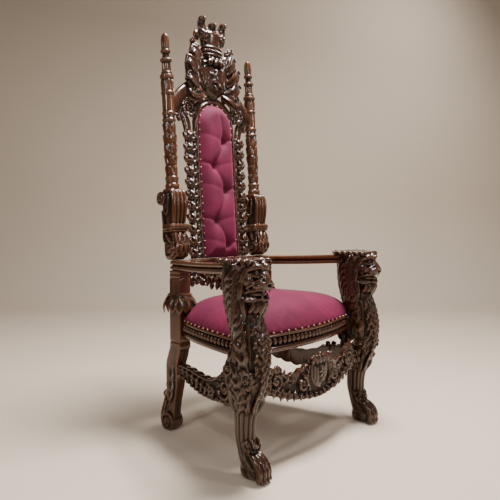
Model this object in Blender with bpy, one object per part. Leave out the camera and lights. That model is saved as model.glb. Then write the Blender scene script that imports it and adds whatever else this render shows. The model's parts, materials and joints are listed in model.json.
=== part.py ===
"""A tall carved throne: lion-headed front legs, moulded arms, a domed velvet seat, and a reclined back
with turned columns on scrolled consoles, a buttoned panel, pierced stiles and a crowned crest.

Metres, +Z up. The front faces -Y. The origin is on the floor in the middle of the throne. A carved form
keeps its pose and its carving as shares of its own size, and everything that meets another piece takes
its place from the same named sizes.
"""

import math

import bmesh
import bpy
import numpy as np
from mathutils import Matrix, Vector
from mathutils.bvhtree import BVHTree

# The play between pieces that meet on a flat, and round a carving that a piece is cut back from
FIT_GAP = 0.0004
CUT_GAP = 0.0006

# Fineness of the carving
CARVING_VOXEL = 0.0042
LEG_VOXELS = 180
LEG_TRIANGLES = 1080
REAR_FOOT_TRIANGLES = 170
SIDE_STRETCHER_TRIANGLES = 260
FRONT_STRETCHER_TRIANGLES = 450
BACK_RAIL_TRIANGLES = 330
STILE_TRIANGLES = 270
CREST_TRIANGLES = 900
CONSOLE_TRIANGLES = 270
COLUMN_SIDES = 8

# Front legs, each a lion's head and chest on one paw
LEG_SPREAD = 0.736
LEG_HEIGHT = 0.767
LEG_AXIS_Y = -0.250

# Rear legs, each with its post
POST_SPREAD = 0.532
POST_WIDTH = 0.058
POST_DEPTH = 0.068
POST_Y = 0.224
POST_TOP = 0.690
POST_BLOCK_BOTTOM = 0.365
CAP_BOTTOM = 0.522
CAP_HEIGHT = 0.060
CAP_OVERHANG = 0.026

# Seat frame and cushion
SEAT_RAIL_TOP = 0.478
SEAT_RAIL_HEIGHT = 0.066
SEAT_RAIL_THICKNESS = 0.036
SEAT_FRONT_REACH = 0.028
SEAT_FRONT_BOW = 0.052
SEAT_SIDE_BOW = 0.014
SEAT_REAR_SET_IN = 0.014
SEAT_FRONT_SET_OUT = 0.006
REAR_RAIL_SET_IN = 0.012
CORNER_BLOCK = 0.052
CORNER_BLOCK_SET_IN = 0.030
CORNER_BLOCK_SET_BACK = 0.036
CUSHION_CROWN = 0.122
CUSHION_INSET = 0.006
CUSHION_BACK_OVERHANG = 0.020

# Arms
ARM_WIDTH = 0.056
ARM_THICKNESS = 0.042
ARM_BELOW_LEDGE = 0.017
ARM_INTO_LEG = 0.046

# Stretchers
STRETCHER_THICKNESS = 0.026
SIDE_STRETCHER_Z = 0.272
SIDE_STRETCHER_HEIGHT = 0.129
SIDE_STRETCHER_SET_IN = 0.012
FRONT_STRETCHER_Z = 0.292
FRONT_STRETCHER_HEIGHT = 0.180
FRONT_STRETCHER_SET_OUT = 0.018
FRONT_STRETCHER_BULGE = 0.022

# Back, laid out upright and then reclined about the top of its bottom rail
BACK_RECLINE_DEG = 3.9
BACK_SET_BACK = 0.033
BACK_RAIL_HEIGHT = 0.044
BACK_RAIL_DEPTH = 0.046
BACK_RAIL_SWAG = 0.112
BACK_FRAME_DEPTH = 0.030
PANEL_WIDTH = 0.210
PANEL_SPRING_H = 0.598
FRAME_BEAD_WIDTH = 0.020
STILE_WIDTH = 0.059
STILE_BELOW_SPRING = 0.032
PAD_THICKNESS = 0.024
PAD_PUFF = 0.026
CONSOLE_HEIGHT = 0.304
CONSOLE_WIDTH = 0.080
CONSOLE_DEPTH = 0.066
COLUMN_SET_IN = 0.007
COLUMN_HEIGHT = 0.664
COLUMN_RADIUS = 0.031
ARCH_FOOT_RISE = 0.057
ARCH_RISE = 0.140
SHIELD_LIFT = 0.132
SHIELD_WIDTH = 0.168
SHIELD_HEIGHT = 0.150
CROWN_HEIGHT = 0.204

# Worked out from the sizes above
LEG_X = LEG_SPREAD / 2
POST_X = POST_SPREAD / 2
POST_FRONT = POST_Y - POST_DEPTH / 2
POST_INNER = POST_X - POST_WIDTH / 2
SEAT_RAIL_BOTTOM = SEAT_RAIL_TOP - SEAT_RAIL_HEIGHT
BLOCK_X = LEG_X - CORNER_BLOCK_SET_IN
BLOCK_Y = LEG_AXIS_Y + CORNER_BLOCK_SET_BACK
PANEL_HALF = PANEL_WIDTH / 2
STILE_HEIGHT = PANEL_SPRING_H - STILE_BELOW_SPRING
STILE_INNER = PANEL_HALF + FRAME_BEAD_WIDTH
STILE_STEM = STILE_INNER + 0.56 * STILE_WIDTH
COLUMN_X = POST_X - COLUMN_SET_IN
BACK_FOOT_Y = POST_Y + BACK_SET_BACK
BACK_FOOT_Z = POST_TOP + FIT_GAP + ARM_THICKNESS


# Shells: closed shapes that are laid over each other and then fused into one carving


def loft(bm, rings):
    """Closes a stack of rings, each the same number of points, into one shell with flat ends."""
    loops = [[bm.verts.new(p) for p in ring] for ring in rings]
    count = len(loops[0])
    for low, high in zip(loops, loops[1:]):
        for i in range(count):
            j = (i + 1) % count
            bm.faces.new((low[i], low[j], high[j], high[i]))
    bm.faces.new(list(reversed(loops[0])))
    bm.faces.new(loops[-1])


def ball(bm, centre, radii):
    """An ellipsoid."""
    place = Matrix.Translation(centre) @ Matrix.Diagonal((*radii, 1.0))
    bmesh.ops.create_icosphere(bm, subdivisions=2, radius=1.0, matrix=place)


def box(bm, low, high):
    """A plain box between two corners."""
    low, high = Vector(low), Vector(high)
    place = Matrix.Translation((low + high) / 2) @ Matrix.Diagonal((*(high - low), 1.0))
    bmesh.ops.create_cube(bm, size=1.0, matrix=place)


def turns(sides):
    """Angles once round, for a ring of that many sides."""
    return np.linspace(0, 2 * math.pi, sides, endpoint=False)


def smooth_path(points, steps):
    """A Catmull-Rom curve through the points, steps to a span."""
    p = np.asarray(points, float)
    p = np.vstack([2 * p[0] - p[1], p, 2 * p[-1] - p[-2]])
    curve = []
    for a, b, c, d in zip(p, p[1:], p[2:], p[3:]):
        for t in np.linspace(0, 1, steps, endpoint=False):
            bend = (2 * a - 5 * b + 4 * c - d) * t**2 + (3 * b - a - 3 * c + d) * t**3
            curve.append(b + ((c - a) * t + bend) / 2)
    return np.array(curve + [p[-2]])


def limb(bm, points, wide, deep, across=(1, 0, 0), sides=8, steps=3):
    """A tapering rod along a smooth path. wide is its half width along `across`, deep its half depth."""
    path = smooth_path(points, steps)
    share = np.linspace(0, 1, len(path))
    knots = np.linspace(0, 1, len(points))
    half_wide = np.interp(share, knots, np.broadcast_to(wide, len(points)))
    half_deep = np.interp(share, knots, np.broadcast_to(deep, len(points)))
    across = Vector(across).normalized()
    rings = []
    for k, centre in enumerate(path):
        ahead = Vector(path[min(k + 1, len(path) - 1)] - path[max(k - 1, 0)])
        normal = ahead.cross(across).normalized()
        side = normal.cross(ahead).normalized()
        rings.append(
            [
                Vector(centre) + side * (half_wide[k] * math.cos(a)) + normal * (half_deep[k] * math.sin(a))
                for a in turns(sides)
            ]
        )
    loft(bm, rings)


def leaf(bm, points, width, thick, across=(1, 0, 0), lobes=3):
    """An acanthus leaf: a flat limb that swells, pulls in between its lobes and ends in a point."""
    count = 4 * lobes + 1
    path = smooth_path(points, count)
    path = path[np.linspace(0, len(path) - 1, count).round().astype(int)]
    share = np.linspace(0, 1, count)
    swell = np.sin(math.pi * (0.12 + 0.88 * share)) ** 0.6
    notch = 0.78 + 0.22 * np.abs(np.sin(math.pi * lobes * share))
    wide = np.maximum(width / 2 * swell * notch, thick / 2)
    limb(bm, path, wide, thick / 2, across, steps=1)


def volute(bm, centre, outer, inner, winds, start, wide, deep, u=(0, -1, 0), v=(0, 0, 1)):
    """A rod wound in a spiral in the plane of u and v, from the outer radius in to the inner one."""
    share = np.linspace(0, 1, int(12 * abs(winds)))
    angle = math.radians(start) + 2 * math.pi * winds * share
    radius = outer * (inner / outer) ** share
    path = np.array(centre) + np.outer(radius * np.cos(angle), u) + np.outer(radius * np.sin(angle), v)
    limb(bm, path, wide * (1 - 0.45 * share), deep, np.cross(u, v), steps=1)


def roll(bm, centre, half_length, radius):
    """A short drum that lies along X, as the end of a scroll does."""
    x, y, z = centre
    limb(bm, [(x - half_length, y, z), (x + half_length, y, z)], radius, radius, (0, 1, 0), 12, 2)


def board(bm, stations, thick, across):
    """A carved board on edge, rounded over: each station gives its lower and its upper edge."""
    section = ((0, -0.5), (0, 0.5), (0.2, 1), (0.8, 1), (1, 0.5), (1, -0.5), (0.8, -1), (0.2, -1))
    out = Vector(across).normalized() * (thick / 2)
    rings = []
    for low, high in stations:
        rings.append([Vector(low).lerp(Vector(high), up) + out * side for up, side in section])
    loft(bm, rings)


def shield_plate(bm, top, width, height, depth):
    """A shield with a straight head, slightly full sides and a rounded point, domed towards the front."""
    side = [(0.5, 0.0), (0.5, -0.30), (0.47, -0.55), (0.36, -0.80), (0.18, -0.95), (0.0, -1.0)]
    outline = side + [(-x, z) for x, z in reversed(side[:-1])]
    x0, y0, z0 = top
    middle = -0.42
    rings = []
    for ahead, shrink in ((-0.5, 1.0), (0.15, 1.0), (0.42, 0.86), (0.5, 0.45)):
        shrunk = [(x * shrink, middle + (z - middle) * shrink) for x, z in outline]
        rings.append([(x0 + x * width, y0 - ahead * depth, z0 + z * height) for x, z in shrunk])
    loft(bm, rings)


# Objects


def mesh_object(name, bm, material):
    """Turns a bmesh into a named object, smooth but for its sharp edges.

    Its faces point outwards and are split, so that a twisted one bends the same way in every copy.
    """
    bmesh.ops.recalc_face_normals(bm, faces=bm.faces)
    bmesh.ops.triangulate(bm, faces=bm.faces[:])
    mesh = bpy.data.meshes.new(name)
    bm.to_mesh(mesh)
    bm.free()
    mesh.materials.append(material)
    mesh.shade_smooth()
    mesh.set_sharp_from_angle(angle=math.radians(40))
    obj = bpy.data.objects.new(name, mesh)
    bpy.context.scene.collection.objects.link(obj)
    return obj


def settle(obj):
    """Applies the object's modifiers to its mesh."""
    graph = bpy.context.evaluated_depsgraph_get()
    mesh = bpy.data.meshes.new_from_object(obj.evaluated_get(graph))
    obj.modifiers.clear()
    obj.data = mesh


def biggest_body(obj):
    """Keeps only the largest connected body, so that a trimmed crumb never floats."""
    bm = bmesh.new()
    bm.from_mesh(obj.data)
    left = set(bm.verts)
    bodies = []
    while left:
        front = [left.pop()]
        body = set(front)
        while front:
            near = {vert for edge in front.pop().link_edges for vert in edge.verts} & left
            left -= near
            body |= near
            front.extend(near)
        bodies.append(body)
    keep = max(bodies, key=len)
    bmesh.ops.delete(bm, geom=[v for v in bm.verts if v not in keep], context="VERTS")
    bm.to_mesh(obj.data)
    bm.free()


def carving(name, bm, triangles, material, voxel=CARVING_VOXEL):
    """Fuses overlapping shells into one closed carving of about that many triangles."""
    obj = mesh_object(name, bm, material)
    fuse = obj.modifiers.new("fuse", "REMESH")
    fuse.mode = "VOXEL"
    fuse.voxel_size = voxel
    soften = obj.modifiers.new("soften", "SMOOTH")
    soften.factor = 0.5
    soften.iterations = 2
    settle(obj)
    biggest_body(obj)
    thin = obj.modifiers.new("thin", "DECIMATE")
    thin.ratio = min(1.0, triangles / (2 * len(obj.data.polygons)))
    settle(obj)
    obj.data.materials.clear()
    obj.data.materials.append(material)
    return obj


def mirrored(obj, name):
    """The right-hand piece, made from the left-hand one."""
    bm = bmesh.new()
    bm.from_mesh(obj.data)
    bmesh.ops.scale(bm, vec=(-1, 1, 1), verts=bm.verts)
    return mesh_object(name, bm, obj.data.materials[0])


def both_halves(obj):
    """Makes a piece that spans the throne the same on both sides, from its left half."""
    half = obj.modifiers.new("halves", "MIRROR")
    half.use_axis = (True, False, False)
    half.use_bisect_axis = (True, False, False)
    half.use_bisect_flip_axis = (True, False, False)
    half.merge_threshold = 0.0001
    settle(obj)
    return obj


def combined(obj, other, operation):
    """Cuts the other object out of this one or joins it on, and then removes the other."""
    change = obj.modifiers.new("change", "BOOLEAN")
    change.operation = operation
    change.object = other
    settle(obj)
    bpy.data.objects.remove(other)


def drawn_back(obj, other):
    """Draws the faces that a cut left against the other piece back from it by the fit's gap."""
    bm = bmesh.new()
    bm.from_mesh(other.data)
    skin = BVHTree.FromBMesh(bm)
    bm.free()
    bm = bmesh.new()
    bm.from_mesh(obj.data)
    bmesh.ops.triangulate(bm, faces=bm.faces[:])
    pushes = {}
    for face in bm.faces:
        if skin.find_nearest(face.calc_center_median(), CUT_GAP / 10)[0] is not None:
            for vert in face.verts:
                pushes[vert] = pushes.get(vert, Vector()) - face.normal * face.calc_area()
    for vert, push in pushes.items():
        vert.co += push.normalized() * CUT_GAP
    bm.to_mesh(obj.data)
    bm.free()


def trimmed(obj, *others):
    """Cuts the piece back to fit round the others, a small gap clear of each.

    A thin edge can fold over as it is drawn back, and a second cut takes off what then reaches too far.
    """
    for other in others * 2:
        cutter = bpy.data.objects.new("cutter", other.data.copy())
        bpy.context.scene.collection.objects.link(cutter)
        combined(obj, cutter, "DIFFERENCE")
        drawn_back(obj, other)
    biggest_body(obj)
    return obj


def sliced(obj, point, away):
    """Cuts the piece off flat at a plane and removes the side that `away` points to."""
    bm = bmesh.new()
    bm.from_mesh(obj.data)
    everything = bm.verts[:] + bm.edges[:] + bm.faces[:]
    cut = bmesh.ops.bisect_plane(bm, geom=everything, plane_co=point, plane_no=away, clear_outer=True)
    rim = [e for e in cut["geom_cut"] if isinstance(e, bmesh.types.BMEdge)]
    bmesh.ops.edgenet_fill(bm, edges=rim)
    bmesh.ops.triangulate(bm, faces=bm.faces[:])
    bmesh.ops.recalc_face_normals(bm, faces=bm.faces)
    bm.to_mesh(obj.data)
    bm.free()
    biggest_body(obj)
    return obj


def finish(name, colour, roughness):
    """A material with one plain colour and gloss."""
    material = bpy.data.materials.new(name)
    material.use_nodes = True
    shader = material.node_tree.nodes["Principled BSDF"]
    shader.inputs["Base Color"].default_value = (*colour, 1.0)
    shader.inputs["Roughness"].default_value = roughness
    shader.inputs["Metallic"].default_value = 0.0
    return material


# Front leg: places are (across, forward, up) in shares of its height, from its own axis on the floor


class Leg:
    """Places and sizes of a front leg's forms, on the leg's own axis."""

    def at(self, across, forward, up):
        return (across * LEG_HEIGHT, -forward * LEG_HEIGHT, up * LEG_HEIGHT)

    def of(self, *shares):
        return np.array(shares) * LEG_HEIGHT


def lion_leg(material):
    """The left front leg, a monopod: head, ruffed chest, leafy thigh, reeded shin and paw."""
    leg = Leg()
    bm = bmesh.new()
    # height, forward offset, half depth and half width of the body, ankle to crown
    body = [
        (0.060, 0.045, 0.062, 0.043),
        (0.130, 0.006, 0.053, 0.042),
        (0.195, -0.004, 0.055, 0.040),
        (0.262, -0.003, 0.058, 0.042),
        (0.340, 0.004, 0.070, 0.047),
        (0.405, 0.012, 0.084, 0.053),
        (0.470, 0.018, 0.094, 0.057),
        (0.520, 0.024, 0.100, 0.058),
        (0.585, 0.041, 0.086, 0.055),
        (0.650, 0.036, 0.088, 0.054),
        (0.705, 0.008, 0.090, 0.056),
        (0.760, -0.018, 0.088, 0.058),
        (0.835, -0.036, 0.092, 0.063),
        (0.910, -0.034, 0.104, 0.068),
        (0.975, -0.032, 0.108, 0.066),
    ]
    rings = []
    for up, ahead, deep, wide in body:
        rings.append([leg.at(wide * math.cos(a), ahead + deep * math.sin(a), up) for a in turns(16)])
    loft(bm, rings)
    lion_head(bm, leg)
    mane(bm, leg)
    chest_ruff(bm, leg)
    thigh_leaves(bm, leg)
    paw(bm, leg)
    # The square block inside the seat's corner, which both rails meet
    reach = CORNER_BLOCK / 2
    low = (CORNER_BLOCK_SET_IN - reach, CORNER_BLOCK_SET_BACK - reach, SEAT_RAIL_BOTTOM)
    high = (CORNER_BLOCK_SET_IN + reach, CORNER_BLOCK_SET_BACK + reach, SEAT_RAIL_TOP - CARVING_VOXEL)
    box(bm, low, high)
    post = carving("front_leg_left", bm, LEG_TRIANGLES, material, LEG_HEIGHT / LEG_VOXELS)
    sliced(post, (0, 0, 0), (0, 0, -1))
    post.data.transform(Matrix.Translation((-LEG_X, LEG_AXIS_Y, 0)))
    return post


def lion_head(bm, leg):
    """Skull, brow, muzzle, open jaws, beard and the flat carved ledge on top."""
    at, of = leg.at, leg.of
    ball(bm, at(0, 0.030, 0.925), of(0.058, 0.080, 0.052))
    brow = ((-0.056, 0.062, 0.934), (-0.026, 0.098, 0.950), (0.026, 0.098, 0.950), (0.056, 0.062, 0.934))
    limb(bm, [at(*p) for p in brow], *of(0.017, 0.015), (0, 0, 1))
    muzzle = [at(0, 0.060, 0.906), at(0, 0.100, 0.906), at(0, 0.132, 0.902), at(0, 0.152, 0.898)]
    limb(bm, muzzle, of(0.040, 0.040, 0.036, 0.024), of(0.030, 0.030, 0.027, 0.018))
    ball(bm, at(0, 0.142, 0.914), of(0.022, 0.016, 0.016))
    for side in (-1, 1):
        ball(bm, at(side * 0.026, 0.122, 0.882), of(0.021, 0.028, 0.018))
        ball(bm, at(side * 0.048, 0.046, 0.868), of(0.020, 0.046, 0.032))
    jaw = [at(0, 0.010, 0.818), at(0, 0.060, 0.822), at(0, 0.104, 0.828), at(0, 0.136, 0.834)]
    limb(bm, jaw, of(0.044, 0.040, 0.033, 0.022), *of(0.015))
    beard = [at(0, 0.112, 0.822), at(0, 0.106, 0.785), at(0, 0.088, 0.745)]
    limb(bm, beard, of(0.028, 0.023, 0.012), *of(0.014))
    ledge = [at(0, -0.156, 0.984), at(0, -0.060, 0.985), at(0, 0.040, 0.985), at(0, 0.084, 0.983)]
    limb(bm, ledge, of(0.044, 0.064, 0.070, 0.054), *of(0.016))


def mane(bm, leg):
    """Long locks that sweep back from the cheeks, and a row of them down the nape."""
    at, of = leg.at, leg.of
    for row, up in enumerate((0.945, 0.885, 0.825, 0.765)):
        for side in (-1, 1):
            root = at(side * 0.056, 0.006 - 0.012 * row, up)
            middle = at(side * 0.068, -0.040 - 0.010 * row, up - 0.034)
            tip = at(side * 0.058, -0.092 - 0.004 * row, up - 0.080)
            limb(bm, [root, middle, tip], of(0.018, 0.022, 0.012), of(0.011, 0.013, 0.009), (0, 0, 1))
    for up in (0.925, 0.845, 0.765, 0.690):
        nape = [at(0, -0.104, up), at(0, -0.116, up - 0.045), at(0, -0.090, up - 0.090)]
        limb(bm, nape, of(0.032, 0.030, 0.018), *of(0.015))


def chest_ruff(bm, leg):
    """Rows of hanging tufts down the front of the chest, widest at the breast and ending in a drop."""
    at, of = leg.at, leg.of
    rows = ((0.715, 0.100), (0.655, 0.124), (0.590, 0.131), (0.525, 0.128), (0.460, 0.114), (0.400, 0.090))
    for row, (up, ahead) in enumerate(rows):
        spread = 0.034 * math.sin(math.pi * (row + 1.5) / (len(rows) + 1.5))
        for side in (-1, 0, 1):
            reach = ahead - 0.016 * abs(side)
            root = at(side * spread * 0.8, reach - 0.030, up + 0.034)
            belly = at(side * spread, reach, up)
            tip = at(side * spread, reach - 0.008, up - 0.046)
            limb(bm, [root, belly, tip], of(0.014, 0.023, 0.010), of(0.013, 0.016, 0.009))


def thigh_leaves(bm, leg):
    """A long leaf up each flank of the thigh, with a curl at its head, and the reeds of the shin below."""
    at, of = leg.at, leg.of
    flank = ((0.030, 0.0, 0.300), (0.052, 0.010, 0.390), (0.062, 0.0, 0.470), (0.068, -0.030, 0.540))
    for s in (-1, 1):
        leaf(bm, [at(s * out, ahead, up) for out, ahead, up in flank], *of(0.120, 0.022), (0, 1, 0), 3)
        volute(bm, at(s * 0.056, -0.064, 0.498), *of(0.034, 0.012), 1.0, 90, *of(0.016, 0.012))
        feather = [at(s * 0.050, 0.040, 0.500), at(s * 0.060, 0.040, 0.590), at(s * 0.052, 0.010, 0.690)]
        leaf(bm, feather, *of(0.080, 0.022), (0, 1, 0), 2)
    shin = ((0.140, 0.004, 0.052), (0.195, -0.004, 0.054), (0.262, -0.003, 0.057), (0.345, 0.004, 0.068))
    for a in turns(8) + math.pi / 8:
        reed = [at(0.040 * math.cos(a), ahead + deep * math.sin(a), up) for up, ahead, deep in shin]
        limb(bm, reed, *of(0.011, 0.010))


def paw(bm, leg):
    """A lion's paw of four toes with a curl over the ankle, flat on the floor."""
    at, of = leg.at, leg.of
    ball(bm, at(0, 0.018, 0.040), of(0.044, 0.058, 0.052))
    ball(bm, at(0, 0.070, 0.046), of(0.044, 0.060, 0.048))
    for x in (-0.037, -0.013, 0.013, 0.037):
        tip = 0.134 - 5.0 * x * x
        toe = ((0.050, 0.105), (tip - 0.030, 0.092), (tip - 0.006, 0.056), (tip - 0.012, -0.010))
        limb(bm, [at(x, *p) for p in toe], of(0.012, 0.016, 0.016, 0.014), of(0.012, 0.016, 0.018, 0.014))
    curl = [at(0, 0.040, 0.205), at(0, 0.058, 0.165), at(0, 0.078, 0.145), at(0, 0.070, 0.170)]
    limb(bm, curl, *of(0.014), of(0.008, 0.011, 0.012, 0.008))


# Rear leg


def rear_leg(material):
    """The left rear leg: a cabriole foot, a square block, a leafy cap and the post under the arm."""
    h = POST_BLOCK_BOTTOM
    wide, deep = POST_WIDTH / 2, POST_DEPTH / 2
    # shares: height and backward offset of the foot's height, half depth and half width of the post's
    shape = [
        (0.10, 0.159, 1.00, 0.90),
        (0.22, 0.132, 1.00, 0.86),
        (0.38, 0.104, 1.09, 0.90),
        (0.58, 0.088, 1.24, 0.97),
        (0.78, 0.082, 1.24, 1.00),
        (0.92, 0.033, 1.12, 1.00),
        (1.03, 0.000, 1.00, 1.00),
    ]
    rings = []
    for up, back, depth, width in shape:
        centre_y = POST_Y + back * h
        ring = [(wide * width * math.cos(a), deep * depth * math.sin(a)) for a in turns(12)]
        rings.append([(-POST_X + x, centre_y + y, up * h) for x, y in ring])
    bm = bmesh.new()
    loft(bm, rings)
    roll(bm, (-POST_X, POST_Y + 0.164 * h, 0.098 * h), 1.1 * wide, 0.115 * h)
    ball(bm, (-POST_X, POST_Y + 0.208 * h, 0.42 * h), (0.060 * h, 0.050 * h, 0.060 * h))
    leg = carving("rear_leg_left", bm, REAR_FOOT_TRIANGLES, material)
    sliced(leg, (0, 0, 0), (0, 0, -1))
    sliced(leg, (0, 0, h), (0, 0, 1))
    bm = bmesh.new()
    box(bm, (-POST_X - wide, POST_Y - deep, h - FIT_GAP), (-POST_X + wide, POST_Y + deep, POST_TOP))
    combined(leg, mesh_object("post", bm, material), "UNION")
    combined(leg, post_cap(material), "UNION")
    return leg


def post_cap(material):
    """A collar of drooping leaves round the post, flared out at its foot and scalloped."""
    sides = 16
    rings = []
    for share, flare in ((0.0, 0.72), (0.10, 1.0), (0.45, 0.62), (0.80, 0.20), (1.0, 0.04)):
        ring = []
        for k, a in enumerate(turns(sides) + math.pi / sides):
            tip = k % 2
            square = max(abs(math.cos(a)), abs(math.sin(a)))
            reach = CAP_OVERHANG * flare * (1.0 if tip else 0.82)
            x = math.cos(a) / square * (POST_WIDTH / 2 + reach)
            y = math.sin(a) / square * (POST_DEPTH / 2 + reach)
            droop = 0.13 if tip and share < 0.2 else 0.0
            ring.append((-POST_X + x, POST_Y + y, CAP_BOTTOM + CAP_HEIGHT * (share - droop)))
        rings.append(ring)
    bm = bmesh.new()
    loft(bm, rings)
    return mesh_object("cap", bm, material)


# Arm


def arm(material):
    """The left arm: two rounded mouldings with a hollow between, level over the post, then rising ahead."""
    w, t = ARM_WIDTH / 2, ARM_THICKNESS
    half = [(0.60 * w, 0), (w, -0.26 * t), (0.84 * w, -0.46 * t), (w, -0.68 * t), (0.66 * w, -t)]
    section = half + [(-x, z) for x, z in reversed(half)]
    rear_y = POST_Y + POST_DEPTH / 2
    front_y = LEG_AXIS_Y + ARM_INTO_LEG
    rise = LEG_HEIGHT - ARM_BELOW_LEDGE - BACK_FOOT_Z
    over_post = POST_DEPTH / (rear_y - front_y)
    rings = []
    for share in (0.0, over_post, 0.40, 0.65, 0.85, 1.0):
        ease = max(0.0, (share - over_post) / (1 - over_post))
        x = -POST_X + (POST_X - LEG_X) * ease
        y = rear_y + (front_y - rear_y) * share
        top = BACK_FOOT_Z + rise * ease**1.5
        rings.append([(x + out, y, top + up) for out, up in section])
    bm = bmesh.new()
    loft(bm, rings)
    return mesh_object("arm_left", bm, material)


# Seat


def seat_half_width(y):
    """Half the seat's width at a depth y: it widens from the posts to the front legs with a small bow."""
    rear_x = POST_X + POST_WIDTH / 2 - SEAT_REAR_SET_IN
    front_x = LEG_X + SEAT_FRONT_SET_OUT
    share = (POST_FRONT - y) / (POST_FRONT - BLOCK_Y)
    bow = SEAT_SIDE_BOW * max(0.0, 4 * share * (1 - share))
    return rear_x + (front_x - rear_x) * share + bow


def seat_front(x):
    """The seat's front line, bowed forward in the middle."""
    return LEG_AXIS_Y - SEAT_FRONT_REACH + SEAT_FRONT_BOW * (x / BLOCK_X) ** 2


def moulded_rail(name, line, outward, material):
    """Carries a rail's section along its outer face: a fillet, a cove for beads, and a lip for nails."""
    t, h = SEAT_RAIL_THICKNESS, SEAT_RAIL_HEIGHT
    hollow = 0.19 * t
    outer = [(0, 0), (0, 0.22), (-hollow, 0.34), (-hollow, 0.66), (0, 0.76), (-0.11 * t, 1)]
    section = [(-t, 0), *outer, (-t, 1)]
    nx, ny = outward
    rings = []
    for x, y in line:
        rings.append([(x + nx * out, y + ny * out, SEAT_RAIL_BOTTOM + up * h) for out, up in section])
    bm = bmesh.new()
    loft(bm, rings)
    return mesh_object(name, bm, material)


def seat_rails(leg, post, material):
    """Front, side and rear rails, each stopping a fit short of the block or post it is tenoned into."""
    stop = BLOCK_X - CORNER_BLOCK / 2 - FIT_GAP
    front_line = [(x, seat_front(x)) for x in np.linspace(-stop, stop, 9)]
    front = moulded_rail("seat_rail_front", front_line, (0, -1), material)
    ends = (POST_FRONT - FIT_GAP, BLOCK_Y + CORNER_BLOCK / 2 + FIT_GAP)
    left_line = [(-seat_half_width(y), y) for y in np.linspace(*ends, 5)]
    left = moulded_rail("seat_rail_left", left_line, (-1, 0), material)
    both_halves(trimmed(front, leg))
    trimmed(left, leg, post, front)
    mirrored(left, "seat_rail_right")
    inner = POST_INNER - FIT_GAP
    rear_y = POST_Y + POST_DEPTH / 2 - REAR_RAIL_SET_IN
    bm = bmesh.new()
    box(bm, (-inner, rear_y - SEAT_RAIL_THICKNESS, SEAT_RAIL_BOTTOM), (inner, rear_y, SEAT_RAIL_TOP))
    mesh_object("seat_rail_rear", bm, material)


def cushion(leg, post, material):
    """A domed sprung seat: rings that follow the seat's outline and rise to a crown."""
    base = SEAT_RAIL_TOP + FIT_GAP
    rear = POST_FRONT + CUSHION_BACK_OVERHANG
    left = [(-seat_half_width(y) + CUSHION_INSET, y) for y in np.linspace(BLOCK_Y, rear, 4)]
    front = [(x, seat_front(x) + CUSHION_INSET) for x in np.linspace(BLOCK_X, -BLOCK_X, 7)]
    right = [(-x, y) for x, y in reversed(left)]
    outline = np.array(right + front + left)
    middle = np.array((0.0, (rear + seat_front(0)) / 2))
    rings = []
    for shrink, rise in ((1.0, 0.0), (0.99, 0.30), (0.93, 0.58), (0.80, 0.80), (0.58, 0.95), (0.25, 1.0)):
        rings.append([(*(middle + (p - middle) * shrink), base + CUSHION_CROWN * rise) for p in outline])
    bm = bmesh.new()
    loft(bm, rings)
    both_halves(trimmed(mesh_object("seat_cushion", bm, material), leg, post))


# Stretchers: heights are shares of the stretcher's own height, from its middle


def scalloped_board(bm, at, edges, ends, count, scallops, thick, across):
    """A board between two edge lines cut in small scallops. `at` places a share along and a height."""
    known = np.array(edges).T
    stations = []
    for share in np.linspace(*ends, count):
        low = np.interp(abs(share), known[0], known[1]) - 0.06 * abs(math.sin(scallops * math.pi * share))
        high = np.interp(abs(share), known[0], known[2]) + 0.04 * abs(math.cos(scallops * math.pi * share))
        stations.append((at(share, low), at(share, high)))
    board(bm, stations, thick, across)


def side_stretcher(leg, post, material):
    """The side apron: a scalloped board that hangs in a swag and rises in a scroll beside the front leg."""
    h = SIDE_STRETCHER_HEIGHT
    rear = np.array((-POST_X, POST_Y))
    front = np.array((-LEG_X + SIDE_STRETCHER_SET_IN, LEG_AXIS_Y))
    ahead = (front - rear) / np.hypot(*(front - rear))
    across = (ahead[1], -ahead[0], 0)
    u, v = (*ahead, 0), (0, 0, 1)

    def at(share, up):
        return (*(rear + (front - rear) * share), SIDE_STRETCHER_Z + up * h)

    # share of the length, lower and upper edge
    edges = [
        (0.00, -0.14, 0.18), (0.12, -0.25, 0.22), (0.25, -0.38, 0.21), (0.38, -0.47, 0.16),
        (0.48, -0.49, 0.16), (0.58, -0.47, 0.24), (0.68, -0.42, 0.39), (0.78, -0.39, 0.49),
        (0.88, -0.31, 0.46), (1.00, -0.23, 0.37),
    ]
    bm = bmesh.new()
    scalloped_board(bm, at, edges, (0, 1), 37, 7, 0.8 * STRETCHER_THICKNESS, across)
    relief = 0.62 * STRETCHER_THICKNESS
    volute(bm, at(0.76, 0.06), 0.39 * h, 0.12 * h, 1.2, 200, relief, 0.08 * h, u, v)
    stem = [at(0.02, 0.03), at(0.18, 0.06), at(0.34, -0.08), at(0.50, -0.20), at(0.64, -0.16)]
    limb(bm, stem, relief, 0.09 * h, across)
    apron = carving("stretcher_left", bm, SIDE_STRETCHER_TRIANGLES, material)
    mirrored(trimmed(apron, leg, post), "stretcher_right")


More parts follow.
